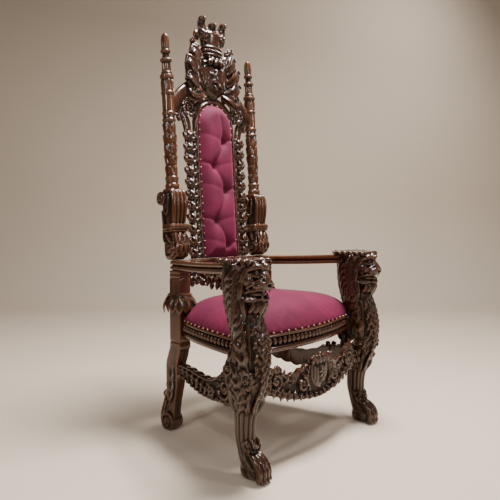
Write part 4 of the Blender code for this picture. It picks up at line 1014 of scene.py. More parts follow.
def sprung(obj, held_below, cap, frames=12):
    """Blows the cover up by Cloth pressure, held at its foot, and lets no point move further than the cap."""
    mesh = obj.data
    before = vertices(mesh)
    held = obj.vertex_groups.new(name="held")
    held.add([int(k) for k in np.flatnonzero(before[:, 2] < held_below)], 1.0, "REPLACE")
    cloth = obj.modifiers.new("cover", "CLOTH")
    cloth.settings.vertex_group_mass = "held"
    cloth.settings.quality = 5
    cloth.settings.mass = 0.3
    cloth.settings.use_pressure = True
    cloth.settings.uniform_pressure_force = 4.0
    cloth.settings.effector_weights.gravity = 0.0
    cloth.settings.tension_stiffness = 12.0
    scene = bpy.context.scene
    for frame_number in range(1, frames + 1):
        scene.frame_set(frame_number)
    baked(obj)
    after = vertices(obj.data)
    moved = after - before
    length = np.linalg.norm(moved, axis=1, keepdims=True)
    points = before + moved * np.minimum(1, cap / np.maximum(length, 1e-9))
    obj.data.vertices.foreach_set("co", points.ravel())
    scene.frame_set(1)


def cushion_piece(cover, crown):
    """The seat: a dome remeshed as cloth, blown up against its nailed foot, then dented and eased."""
    obj = new_object("seat", *seat_cushion(crown), cover, "velvet")
    weave = obj.modifiers.new("weave", "REMESH")
    weave.mode = "VOXEL"
    weave.voxel_size = 0.006
    baked(obj)
    sprung(obj, RAIL_TOP + 0.01, 0.007)
    points = vertices(obj.data)
    high = np.clip((points[:, 2] - RAIL_TOP) / 0.05, 0, 1)
    x, y = points[:, 0], points[:, 1]
    dents = 0.0016 * np.sin(11 * x + 5 * y + 0.6) * np.sin(9 * y - 3 * x + 1.1)
    edge = np.exp(-(((points[:, 2] - RAIL_TOP - 0.016) / 0.012) ** 2))
    gathers = 0.0011 * np.sin(2 * np.pi * (x + y) / 0.036) * edge
    centre = np.stack([x, y], -1) / np.maximum(np.hypot(x, y), 1e-6)[:, None]
    points[:, 2] += dents * high
    points[:, :2] += centre * gathers[:, None]
    obj.data.vertices.foreach_set("co", points.ravel())
    ease = obj.modifiers.new("ease", "SMOOTH")
    ease.iterations = 3
    baked(obj)
    obj.data.materials.clear()
    obj.data.materials.append(cover)
    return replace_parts(obj, "seat_cushion")


# Back pad


def to_segment(x, z, a, b):
    """Distance from (x, z) to the segment a-b."""
    a, b = np.asarray(a, float), np.asarray(b, float)
    way = b - a
    t = np.clip(((x - a[0]) * way[0] + (z - a[1]) * way[1]) / (way @ way), 0, 1)
    return np.hypot(x - a[0] - t * way[0], z - a[1] - t * way[1])


def tufting(x, z):
    """The pad's front: a pillow, less a pit exp(-r/0.014) at each button and a pleat between them."""
    half, top = PAD_HALF, PANEL_SPRING + PAD_HALF
    across = np.abs(x) / half
    high = np.where(z > PANEL_SPRING, np.hypot(x, z - PANEL_SPRING) / half, across)
    edge = np.clip(np.minimum(1 - high, (z - 0.0) / half), 0, 1)
    puff = 0.034 * (1 - (1 - np.clip(edge / 0.5, 0, 1)) ** 2.0)
    pits, pleats = np.zeros_like(x), np.zeros_like(x)
    stops = [(0.0, top), *BUTTONS, (-0.02, -0.02)]
    for here, after in zip(stops, stops[1:]):
        pleats += 0.6 * np.exp(-((to_segment(x, z, here, after) / 0.01) ** 1.3))
    for bx, bz in BUTTONS:
        pits += np.exp(-((np.hypot(x - bx, (z - bz) * 0.8) / 0.021) ** 1.2))
        side = math.copysign(half, bx)
        pleats += 0.55 * np.exp(-((to_segment(x, z, (bx, bz), (side, bz + 0.02)) / 0.0065) ** 1.2))
        pleats += 0.16 * np.exp(-((to_segment(x, z, (bx, bz), (-side, bz + 0.03)) / 0.011) ** 1.3))
    sunk = 0.026 * np.clip(pits, 0, 1.05) + 0.0115 * np.clip(pleats, 0, 1.1)
    return np.maximum(puff - sunk, 0)


def pad_piece(cover):
    """The buttoned panel: rows across the round-headed outline, tufted in front and flat behind."""
    arch = PANEL_SPRING + (PAD_HALF - 0.0006) * np.sin(np.linspace(0, 0.5, 46)[1:] * np.pi)
    z = np.concatenate([np.linspace(0.0006, PANEL_SPRING, 150), arch])
    arched = np.sqrt(np.maximum(PAD_HALF**2 - (z - PANEL_SPRING) ** 2, 1e-7))
    half = np.where(z > PANEL_SPRING, arched, PAD_HALF)
    u = np.sin(np.linspace(-0.5, 0.5, 56) * np.pi * 0.98) / math.sin(0.49 * math.pi)
    x = half[:, None] * u * 0.996
    tall = z[:, None] + 0 * x
    front = np.stack([x, -0.01 - tufting(x, tall), tall], -1)
    behind = np.stack([x, np.full_like(x, 0.012), tall], -1)[:, ::-1]
    obj = new_object("back_cover", *closed_grid(np.concatenate([front, behind], 1)), cover, "velvet")
    obj.data.transform(back_lean())
    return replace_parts(obj, "back_pad")


def pad_buttons(cover):
    """Covered buttons sunk in the pits."""
    carving = Carving()
    x, z = np.array(BUTTONS).T
    y = -0.01 - tufting(x, z) - 0.0025
    carving.beads(np.column_stack([x, y, z]), (0.0105, 0.0055, 0.0105), 20, 12)
    carving.placed(back_lean())
    return new_object("back_buttons", *carving.joined(), cover, "velvet")


def nail_rows(metal, pitch, back_pitch):
    """Domed nails round the foot of the seat's cover and round the back panel."""
    seat = Carving()
    for line in (front_line(), side_line(), side_line() * (-1, 1, 1)):
        places, _ = along(line, pitch, 0.6 * pitch)
        out = outward(places)
        places[:, :2] -= 0.001 * out
        places[:, 2] = RAIL_TOP + 0.0065
        seat.beads(places, 0.0037, 10, 7)
    nails = new_object("seat_nails", *seat.joined(), metal, "nail_heads")
    back = Carving()
    half = PAD_HALF - 0.004
    up = np.column_stack([np.full(20, half), np.zeros(20), np.linspace(0.012, PANEL_SPRING, 20)])
    a = np.linspace(0, np.pi, 40)
    arch = np.column_stack([half * np.cos(a), 0 * a, PANEL_SPRING + half * np.sin(a)])
    places, _ = along(np.concatenate([up, arch[1:-1], up[::-1] * (-1, 1, 1)]), back_pitch)
    places[:, 1] = np.where(places[:, 2] > PANEL_SPRING - 0.03, -0.0155, -0.0125)
    back.beads(places, 0.004, 10, 7)
    back.placed(back_lean())
    return nails, new_object("back_nails", *back.joined(), metal, "nail_heads")


# Ornament shared by the carved pieces


def scalloped(carving, edges, span, count, scallops, thick):
    """A board between two edge lines, its foot cut by |sin(n pi s)| and its head by |cos(n pi s)|."""
    known = np.array(edges).T
    s = np.linspace(*span, count)
    low = np.interp(np.abs(s), known[0], known[1]) - 0.06 * np.abs(np.sin(scallops * np.pi * s))
    high = np.interp(np.abs(s), known[0], known[2]) + 0.04 * np.abs(np.cos(scallops * np.pi * s))
    rows = ((low, thick), (high, thick), (high, -thick), (low, -thick))
    edges = [carving.frame(np.column_stack([s, up, np.full(count, out)])) for up, out in rows]
    carving.shell(np.stack(edges, 1))


def shield(carving, foot, width, height, deep, stripes):
    """A domed shield: its outline shrinks as cos v and comes forward as sin v, ridged by cos(2 pi x / p)."""
    t = np.linspace(0, 1, 30)
    half = width / 2 * np.sin(np.pi / 2 * np.clip(t / 0.6, 0.0, 1)) ** 0.72
    right = np.column_stack([half, t * height])
    x = np.linspace(width / 2, -width / 2, 24)[1:-1]
    head = np.column_stack([x, height * (1 + 0.035 * np.cos(2 * np.pi * x / width))])
    outline = np.concatenate([right, head, right[:0:-1] * (-1, 1)])
    v = np.concatenate([[0, 0], np.linspace(0.02, 0.5, 22) * np.pi])
    shrink, rise = np.cos(v) ** 0.75, np.sin(v) ** 0.8
    rings = np.empty((len(v), len(outline), 3))
    rings[..., 0] = outline[:, 0] * shrink[:, None]
    middle = 0.55 * height
    rings[..., 2] = foot[2] + middle + (outline[:, 1] - middle) * shrink[:, None]
    ridge = 0.5 * np.cos(2 * np.pi * rings[..., 0] / (width / stripes))
    paled = np.clip(4 * rise[:, None] - 1, 0, 1) * (np.abs(rings[..., 0]) > 0.22 * width)
    rings[..., 1] = foot[1] - deep * rise[:, None] - 0.0032 * ridge * paled
    rings[0, :, 1] = foot[1] + 0.6 * deep
    rings[..., 0] += foot[0]
    carving.shell(rings)
    rim = np.insert(outline, 1, -0.12 * deep, axis=1) + foot
    carving.tube(np.vstack([rim, rim[:1]]), 0.0048, 0.0048, Y, 10, 1)
    charge = [(foot[0] + x * width, foot[1] - 0.98 * deep, foot[2] + z * height)
              for x, z in ((-0.07, 0.2), (0.07, 0.38), (-0.06, 0.6), (0.08, 0.82))]
    carving.spray(charge, 0.16 * width, 5)


# Stretchers


APRON_AHEAD = unit(np.array((-LEG_X + 0.012 + POST_X, LEG_Y - POST_Y, 0.0)))
APRON_OUT = np.array((APRON_AHEAD[1], -APRON_AHEAD[0], 0.0))


def on_apron(places):
    """Places on the left apron: a share of the way from the post to the leg, then shares of its height, up
    and out."""
    along_it, up, out = places.T[..., None]
    rear, front = np.array((-POST_X, POST_Y, 0.272)), np.array((-LEG_X + 0.012, LEG_Y, 0.272))
    return rear + (front - rear) * along_it + APRON_HEIGHT * (Z * up + APRON_OUT * out)


def side_apron(carving):
    """A scalloped board with running acanthus that ends in a leaf-rimmed volute beside the front leg."""
    # share of the length, lower and upper edge
    edges = [
        (0, -0.12, 0.16), (0.12, -0.22, 0.19), (0.25, -0.34, 0.17), (0.38, -0.43, 0.12), (0.48, -0.44, 0.12),
        (0.58, -0.43, 0.2), (0.68, -0.38, 0.35), (0.78, -0.35, 0.44), (0.88, -0.28, 0.42), (1.0, -0.2, 0.34),
    ]
    carving.within(on_apron, APRON_HEIGHT)
    scalloped(carving, edges, (0, 1), 121, 9, 0.075)
    carving.spiral((0.76, 0.06, 0.12), 0.34, 0.09, 1.6, 200, 0.1, 0.062, APRON_AHEAD)
    carving.fan((0.76, 0.06, 0.03), (0.34, 0.52), (20, 300), 10, 0.19, 0.13, APRON_AHEAD)
    carving.spiral((0.55, -0.16, 0.1), 0.19, 0.06, -1.3, 20, 0.08, 0.05, APRON_AHEAD)
    stem = [(0, 0.02, 0.1), (0.14, 0.02, 0.1), (0.3, -0.08, 0.1), (0.44, -0.2, 0.1), (0.56, -0.3, 0.1)]
    carving.spray(stem, 0.24, 8, APRON_OUT)
    bar = [(0, 0.15, 0.1), (0.2, 0.16, 0.1), (0.4, 0.09, 0.1), (0.55, 0.12, 0.1), (0.66, 0.32, 0.1)]
    carving.tube(bar, 0.045, 0.05, Z)
    carving.spray([(0.82, -0.22, 0.1), (0.9, -0.12, 0.1), (0.99, 0.05, 0.1)], 0.24, 4, APRON_OUT)
    carving.spray([(0.9, 0.1, 0.1), (0.95, 0.22, 0.1), (1, 0.28, 0.1)], 0.2, 3, APRON_OUT)
    for place in np.linspace(0.06, 0.96, 15):
        low = np.interp(place, *np.array(edges).T[:2]) + 0.04
        drop = [(place, low + 0.1, 0.08), (place + 0.004, low - 0.01, 0.13),
                (place + 0.008, low - 0.07, 0.06)]
        carving.leaf(drop, 0.15, 0.1, APRON_AHEAD, 1)


def on_front(places):
    """Places on the front apron, which bellies forward as 1 - (s / 0.6)^2: a share of half its length across,
    then shares of its height, up and ahead."""
    across, up, ahead = places.T
    bulge = 0.022 * (1 - np.minimum(1, np.abs(across) / 0.6) ** 2)
    y = LEG_Y - 0.018 - bulge - ahead * FRONT_APRON_HEIGHT
    return np.stack([across * LEG_X, y, 0.292 + up * FRONT_APRON_HEIGHT], -1)


def front_apron(carving):
    """A scalloped swag with scrolls, running leaves to each leg, and a striped shield under a leafy crest."""
    h = FRONT_APRON_HEIGHT
    # share of the half length, lower and upper edge
    edges = [
        (0.0, -0.44, 0.33), (0.12, -0.43, 0.28), (0.25, -0.38, 0.24), (0.38, -0.33, 0.16), (0.5, -0.27, 0.17),
        (0.62, -0.18, 0.28), (0.75, -0.08, 0.43), (0.88, 0.0, 0.48), (1.0, 0.05, 0.47),
    ]
    carving.within(on_front, h)
    scalloped(carving, edges, (-1, 1), 161, 10, 0.055)
    carving.within()
    shield(carving, on_front(np.array([(0, -0.26, 0.05)]))[0], 0.56 * h, 0.56 * h, 0.085 * h, 8)
    carving.within(on_front, h)
    for x, lean in ((-0.13, -0.06), (-0.06, -0.02), (0, 0), (0.06, 0.02), (0.13, 0.06)):
        leaf = [(x, 0.26, 0.06), (x + lean * 0.4, 0.42, 0.12), (x + lean, 0.53 - abs(x), 0.08)]
        carving.leaf(leaf, 0.17, 0.12, X, 1)
    for s in carving.sides():
        carving.spiral((0.29, -0.08, 0.08), 0.17, 0.05, s * 1.4, 90, 0.07, 0.045, X)
        carving.spiral((0.66, 0.13, 0.08), 0.17, 0.05, -s * 1.4, 250, 0.07, 0.045, X)
        carving.fan((0.66, 0.13, 0.02), (0.17, 0.31), (60, 250) if s < 0 else (-70, 120), 8, 0.12, 0.1, X)
        stem = [(0.96, 0.24, 0.07), (0.82, 0.1, 0.07), (0.64, -0.12, 0.07), (0.46, -0.26, 0.07),
                (0.26, -0.36, 0.07)]
        carving.spray(stem, 0.19, 8)
        rise = [(0.4, 0.02, 0.07), (0.5, 0.1, 0.07), (0.6, 0.3, 0.07), (0.8, 0.42, 0.07), (0.94, 0.44, 0.07)]
        carving.spray(rise, 0.15, 6)
        carving.spray([(0.16, -0.26, 0.07), (0.2, 0.02, 0.07), (0.17, 0.28, 0.07)], 0.15, 6, AHEAD, (s,))
    for place in np.linspace(-0.95, 0.95, 25):
        low = np.interp(abs(place), *np.array(edges).T[:2]) + 0.03
        drop = [(place, low + 0.08, 0.05), (place, low - 0.01, 0.1), (place, low - 0.06, 0.05)]
        carving.leaf(drop, 0.11, 0.08, X, 1)


# Back, in its own upright frame: x across, y back from its mid plane, z up from its bottom rail's top


def lower_back(carving):
    """The bar under the panel with its mouldings, over a pierced swag of leaves in two arches."""
    half, drop, bar = POST_X - 0.0294, 0.112, 0.044
    carving.box((-POST_X, -0.021, 0.001 - bar), (POST_X, 0.022, -GAP))
    for up in (-0.009, -0.036):
        carving.tube([(x, -0.021, up) for x in (-POST_X, 0, POST_X)], 0.0062, 0.005, Z)
    # across, down and ahead
    carving.within(scaled((0, 0, -bar), (half, -drop, -drop), (0, 2, 1)), drop)
    arch = ((1.04, 0.09), (0.8, 0.35), (0.55, 0.16), (0.26, 0.4), (0, 0.55))
    hangings = ((0.9, 0.55), (0.78, 0.72), (0.66, 0.66), (0.4, 0.76), (0.28, 0.92), (0.13, 0.96))
    for s in carving.sides():
        carving.spray([(*place, 0.04) for place in arch], 0.24, 10)
        carving.tube(arch, 0.16, 0.11, Z)
        for across, fall in hangings:
            carving.leaf([(across, 0.1), (across, 0.55 * fall, 0.08), (0.95 * across, fall)], 0.3, 0.2, X, 3)
        carving.spiral((0.5, 0.5, 0.06), 0.23, 0.07, 1.3 * s, 90, 0.12, 0.07, X)
    carving.leaf([(0, -0.05), (0, 0.6, 0.12), (0, 1)], 0.46, 0.24, X, 4)


def panel_bead(carving, path):
    """The round bead that frames the panel."""
    carving.tube(path, 0.0145, FRAME_BEAD / 2 - 0.001, Y, 18)


def stile(carving):
    """A bead beside the panel and a pierced upright of husks, collars and paired leaves outside it."""
    h, deep = STILE_HEIGHT, 0.015
    inner = PAD_HALF + 0.0006
    bead_x = -inner - 0.0085
    carving.box((-inner - 0.0165, -0.01, 0.0006), (-inner, 0.0145, h - 0.0005))
    panel_bead(carving, [(bead_x, -0.003, 0.0006), (bead_x, -0.003, h / 2), (bead_x, -0.003, h - 0.0005)])
    carving.tube([(-inner - 0.0185, -0.008, z * h) for z in (0.001, 0.5, 0.999)], 0.004, 0.003, Y)
    room = 0.0275
    # height share and half width share of the upright, with its two collars
    husks = [
        (0.001, 0.6), (0.05, 0.62), (0.11, 0.72), (0.17, 0.45), (0.2, 0.42), (0.21, 0.85), (0.228, 0.95),
        (0.245, 0.8), (0.255, 0.45), (0.31, 0.66), (0.37, 0.42), (0.44, 0.78), (0.51, 0.44), (0.58, 0.72),
        (0.65, 0.6), (0.72, 0.42), (0.8, 0.42), (0.81, 0.8), (0.825, 0.88), (0.84, 0.75), (0.85, 0.42),
        (0.92, 0.66), (0.999, 0.8),
    ]
    a = turns(24)
    rings = [np.column_stack([-STEM_X + room * wide * np.cos(a), 0.8 * deep * np.sin(a), np.full(24, up * h)])
             for up, wide in smooth_path(husks, 3)]
    carving.shell(rings)
    for up in h * (np.arange(11) + 0.12) / 11:
        carving.within(scaled((-STEM_X, 0, up), 1))
        for s, reach in ((1, STEM_X + bead_x), (-1, room + 0.002)):
            x = s * reach
            leaf = [(0, -0.006), (0.7 * x, -0.012, 0.014), (0.86 * x, -0.008, 0.038)]
            carving.leaf(leaf, 0.017, 0.015, (0.7 * s, 0, -0.7), 2)
            carving.spiral((0.66 * x, -0.01, 0.034), 0.0085, 0.003, -1.2 * s, 0, 0.0045, 0.003, X)
            carving.tube([(0, 0), (0.7 * x, 0, 0.018), (0.86 * x, 0, 0.036)], 0.005, 0.0062, Y)
        carving.leaf([(0, -0.008), (0, -0.017, 0.02), (0, -0.01, 0.044)], 0.024, 0.012, X, 2)


def crest(carving):
    """The head of the back: round arch, haunch bands, pierced spandrels, shield, mantling and crown."""
    ring = PAD_HALF + 0.0006 + 0.0085
    foot = STILE_HEIGHT + 0.001
    a = np.linspace(0, np.pi, 25)
    bend = np.column_stack([ring * np.cos(a), 0 * a - 0.003, PANEL_SPRING + ring * np.sin(a)])
    bend = np.vstack([(ring, -0.003, foot), bend, (-ring, -0.003, foot)])
    panel_bead(carving, bend)
    carving.tube(bend + (0, 0.008, 0), 0.0085, 0.0085, Y)
    outer = ring + 0.017
    hood = np.column_stack([outer * np.cos(a), 0 * a, PANEL_SPRING + outer * np.sin(a)])[3:-3]
    carving.tube(hood, 0.0125, 0.012, Y)
    for s in carving.sides():
        haunch(carving)
        spandrel(carving, s, foot)
    shield_and_mantling(carving)
    crown(carving)


def haunch(carving):
    """The broad convex band off the column, with a bead along its upper edge."""
    reach, foot, rise = COLUMN_X - 0.0124, PANEL_SPRING + 0.057, 0.14
    out, up = np.array([(1, 0), (0.89, 0.2), (0.69, 0.55), (0.48, 0.82), (0.2, 0.96), (0, 1)]).T
    band = np.column_stack([out * reach, 0 * out, foot + up * rise])
    carving.within()
    carving.tube(band, np.array([0.19, 0.225, 0.225, 0.21, 0.18, 0.16]) * rise, 0.0175, Z, 28, 10)
    line = smooth_path(band, 8)
    edge = line + np.cross(unit(np.gradient(line, axis=0)), Y) * 0.0265 + (0, -0.006, 0)
    carving.tube(edge[::2], 0.0048, 0.0048, Y, 10, 3)


def spandrel(carving, s, foot):
    """Leafwork under a haunch: a leaf up from the stile, a leaf-rimmed scroll, and sprays to the bands."""
    h = 0.14
    deep = 0.01 / h
    # out, up and ahead
    carving.within(scaled((0, 0, PANEL_SPRING), (COLUMN_X, -h, h), (0, 2, 1)), h)
    rising = [(STEM_X / COLUMN_X, (foot - PANEL_SPRING) / h), (0.64, 0.07), (0.73, 0.36), (0.83, 0.6)]
    carving.tube(rising, (0.15, 0.17, 0.12, 0.08), deep)
    carving.spray(rising, 0.24, 5)
    carving.spiral((0.58, 0.51, 0.04), 0.21, 0.06, 1.4 * s, 200, 0.085, 0.05, X)
    carving.fan((0.58, 0.51, 0.04), (0.2, 0.32), (0, 320), 9, 0.13, 0.09, X)
    twig = [(0.42, 0.21), (0.51, 0.43), (0.49, 0.79), (0.58, 1.14)]
    carving.spray(twig, 0.2, 5)
    carving.tube(twig, 1.1 * deep, 0.7 * deep, Y)
    up_arch = [(0.23, 0.68), (0.29, 1), (0.35, 1.36)]
    carving.tube(up_arch, 1.1 * deep, deep, Y)
    carving.spray(up_arch, 0.19, 4)
    drop = [(0.72, 0.43), (0.8, 0.21), (0.77, 0.03)]
    carving.tube(drop, (0.08, 0.09, 0.05), deep)
    carving.spray(drop, 0.17, 3)


def shield_and_mantling(carving):
    """A domed, striped shield on the arch, leafy scarves down its sides and a roll along its head."""
    w, h = 0.168, 0.15
    foot = PANEL_SPRING + 0.132
    carving.within()
    shield(carving, (0, -0.008, foot + 0.002), 1.14 * w, 1.03 * h, 0.026, 13)
    # out, ahead and up
    carving.within(scaled((0, 0, foot), (w, -w, h)), w)
    # the root on the scarf, a first bend, a second and the curled tip, as (out, up)
    plumes = (
        ((0.36, 0.2), (0.6, 0.02), (0.78, 0), (0.86, 0.14)),
        ((0.36, 0.16), (0.64, 0.26), (0.84, 0.48), (0.97, 0.52)),
        ((0.42, 0.5), (0.68, 0.66), (0.84, 0.94), (0.96, 0.98)),
        ((0.36, 0.84), (0.56, 1.02), (0.68, 1.28), (0.8, 1.32)),
    )
    for s in carving.sides():
        scarf = [(0.48, 0.05, 0.1), (0.7, 0.05, 0.42), (0.75, 0.05, 0.85), (0.58, 0.05, 1.14)]
        carving.tube(scarf, (0.11, 0.19, 0.2, 0.1), 0.065, ripple=0.12)
        for plume in plumes:
            path = [(out, ahead, up) for (out, up), ahead in zip(plume, (0.04, 0.16, 0.13, 0.07))]
            carving.tube(path, (0.06, 0.1, 0.105, 0.08), (0.09, 0.17, 0.18, 0.12), Y, 24, 8, 0.22, 5)
            out, up = plume[-1]
            carving.spiral((out - 0.06, 0.14, up - 0.02), 0.11, 0.036, 1.2 * s, 0, 0.06, 0.038, X)
    head = [(-0.52, 0.06, 1.02), (-0.25, 0.11, 1.06), (0, 0.12, 1.08), (0.25, 0.11, 1.06), (0.52, 0.06, 1.02)]
    carving.tube(head, 0.062, 0.062, Y, ripple=0.08)


def crown(carving):
    """A flared circlet with beaded rims, a wing each side and three prongs with curled tips."""
    h = 0.204
    # out, ahead and up
    carving.within(scaled((0, 0.02 * h, PANEL_SPRING + 0.282 + 0.05 * h), (h, -h, h)), h)

    def circle(out, deep, up, a=turns(48)):
        return np.column_stack([out * np.cos(a), 0.07 - deep * out * np.sin(a), np.full(len(a), up)])

    profile = smooth_path(
        [(-0.02, 0.2), (0.08, 0.23), (0.16, 0.26), (0.34, 0.27), (0.5, 0.29), (0.62, 0.33), (0.68, 0.31)], 6
    )
    gadroons = 0.035 * np.abs(np.cos(8 * turns(48)))
    rings = [circle(out * (1 + gadroons * (0.36 < up < 0.64)), 0.52, up) for up, out in profile]
    carving.shell(carving.frame(np.array(rings)))
    for up, out in ((0.17, 0.272), (0.33, 0.282)):
        ring = circle(out, 0.53, up)
        carving.tube(np.vstack([ring, ring[:1]]), 0.0048 / h, 0.0048 / h, Z, 10, 1)
    carving.beads(circle(0.28, 0.54, 0.25, turns(26)), np.array((0.0062, 0.0062, 0.0074)) / h, 10, 7)
    for x, top in ((-0.275, 0.9), (0, 0.83), (0.275, 0.9)):
        prong = [(0.95 * x, 0.1, 0.5), (1.06 * x, 0.13, 0.7), (1.12 * x, 0.12, 0.82), (1.16 * x, 0.15, top)]
        carving.tube(prong, (0.13, 0.115, 0.1, 0.08), 0.075, ripple=0.14)
        carving.ball((1.16 * x, 0.16, top), (0.086, 0.092, 0.078))
        carving.spiral((1.16 * x, 0.23, top + 0.005), 0.056, 0.016, 1.2, 200, 0.034, 0.022)
        carving.leaf([(0.9 * x, 0.16, 0.42), (x, 0.2, 0.6), (1.05 * x, 0.17, 0.76)], 0.2, 0.07)
    for x in (-0.15, 0.15, -0.3, 0.3):
        carving.leaf([(x, 0.08, 0.52), (x, 0.12, 0.68), (1.04 * x, 0.06, 0.82)], 0.21, 0.1)
    for x in (-0.14, 0, 0.14):
        lip = [(0.7 * x, 0.12, 0.15), (x, 0.19, 0.06), (1.3 * x, 0.2, -0.02), (1.6 * x, 0.16, -0.06)]
        carving.leaf(lip, 0.15, 0.09, X, 2)
    for x in (-0.22, 0, 0.22):
        carving.ball((x, -0.14, 0.68), (0.1, 0.06, 0.12))
    wing = ((0.25, 0.02, -0.05), (0.44, 0.1, 0.16), (0.54, 0.08, 0.36), (0.6, 0.12, 0.4))
    for s in carving.sides():
        carving.tube(wing, (0.11, 0.11, 0.08, 0.04), 0.05, ripple=0.1)
        carving.spray(wing, 0.15, 5)
        carving.spiral((0.46, 0.12, 0.3), 0.09, 0.03, 1.2 * s, 0, 0.04, 0.025, X)


# Consoles and columns


def bracket(carving):
    """A scrolled console: reeded front, beaded collar, a leaf curled under, and volutes on its flanks."""
    # height, front and back of the side outline, half width
    core = [
        (0.002, 0.62, 0.7, 0.7), (0.035, 0.98, 0.86, 0.88), (0.1, 1.25, 0.98, 0.96), (0.22, 1.2, 0.95, 0.98),
        (0.36, 0.98, 0.92, 0.9), (0.5, 0.86, 0.92, 0.86), (0.72, 1.14, 0.92, 0.96), (0.86, 1.16, 0.96, 0.96),
        (0.95, 0.98, 0.96, 0.84),
        (0.998, 0.8, 0.92, 0.78),
    ]
    a = turns(48)
    corner = np.maximum(np.abs(np.cos(a)), np.abs(np.sin(a))) ** 0.75
    rings = []
    for up, front, back, wide in smooth_path(core, 6):
        depth = np.where(np.sin(a) > 0, back, front) * np.sin(a) / corner
        rings.append(np.column_stack([wide * np.cos(a) / corner, depth, np.full(48, up)]))
    w = 0.04
    # out, back and up
    console = scaled((-COLUMN_X, 0, 0), (w, 0.033, CONSOLE_HEIGHT))
    carving.shell(console(np.array(rings)))
    carving.within(console, w)
    band = ((-1.2, 0.5), (-1.18, -0.6), (-1.08, -1.14), (0, -1.2), (1.08, -1.14), (1.18, -0.6), (1.2, 0.5))
    for up, thick in ((0.405, 0.09), (0.445, 0.13), (0.49, 0.09)):
        carving.tube([(*place, up) for place in band], thick, thick, Z, 12)
    collar = ((-1.24, 0.4), (-1.22, -0.6), (-1.1, -1.22), (0, -1.28), (1.1, -1.22), (1.22, -0.6), (1.24, 0.4))
    places, _ = along(smooth_path(carving.at([(*place, 0.47) for place in collar]), 8), 0.0098)
    carving.within()
    carving.beads(places, 0.0044, 10, 7)
    carving.within(console, w)
    for x in np.linspace(-0.75, 0.75, 4):
        reed = [(x, -0.62, 0.975), (x, -1.06, 0.935), (x, -1.29, 0.82), (x, -1.16, 0.67),
                (0.9 * x, -0.86, 0.5)]
        carving.tube(reed, (0.21, 0.24, 0.25, 0.24, 0.2), 0.22)
    for up, back, reach, winds, start in ((0.868, 1.02, 0.84, 1.5, 150), (0.15, -0.3, 0.95, -1.5, -40)):
        carving.tube([(out, back, up) for out in (-1.02, 0, 1.02)], reach - 0.1, reach - 0.1, Y, 32, 3)
        for _ in carving.sides():
            carving.spiral((1.06, back, up), reach - 0.14, 0.2, winds, start, 0.11, 0.13, Y)
    for _ in carving.sides():
        carving.tube([(1, 0.62, 0.7), (1.02, 0.1, 0.64), (1.02, -0.3, 0.7), (1, -0.52, 0.92)], 0.1, 0.09, Y)
        carving.tube([(1, 0.8, 0.7), (1, 0.72, 0.5), (1, 0.8, 0.3), (1, 0.3, 0.24)], 0.1, 0.1, Y)
        carving.leaf([(0.98, 0.1, 0.38), (1.12, -0.3, 0.32), (1.12, -0.7, 0.24)], 0.5, 0.3, (0, 0.5, 0.8), 2)
    for x, wide in ((-0.62, 0.66), (0, 0.84), (0.62, 0.66)):
        frond = [(x, -0.98, 0.39), (x, -1.36, 0.27), (x, -1.42, 0.15), (x, -1.14, 0.07), (x, -0.6, 0.03)]
        carving.leaf(frond, wide, 0.42, X, 3)


def scales(z, a, band, rows, count, height):
    """Overlapping leaves: each row swells from root to tip, narrows as (1 - f)^0.5 and has a vein."""
    low, high = band
    u = np.clip((z - low) / (high - low), 0, 1 - 1e-6) * rows
    row, f = np.floor(u), u - np.floor(u)
    m = np.abs(((a * count / (2 * np.pi) + row / 2) % 1) - 0.5) * 2
    inside = np.clip((np.sqrt(1 - f) * 1.15 - m) / 0.25, 0, 1)
    leafy = (0.15 + 0.85 * f) * inside * (1 - 0.45 * np.exp(-((m / 0.13) ** 2)))
    return height * leafy * ((z > low) & (z < high))


def flutes(z, a, band, count, height, twist=0.0):
    """Reeds |cos(n a / 2)| between two heights, twisted by an angle per share of height."""
    low, high = band
    fade = np.clip(np.minimum(z - low, high - z) / 0.012, 0, 1)
    return height * fade * (np.abs(np.cos(count * (a + twist * z) / 2)) - 0.6)


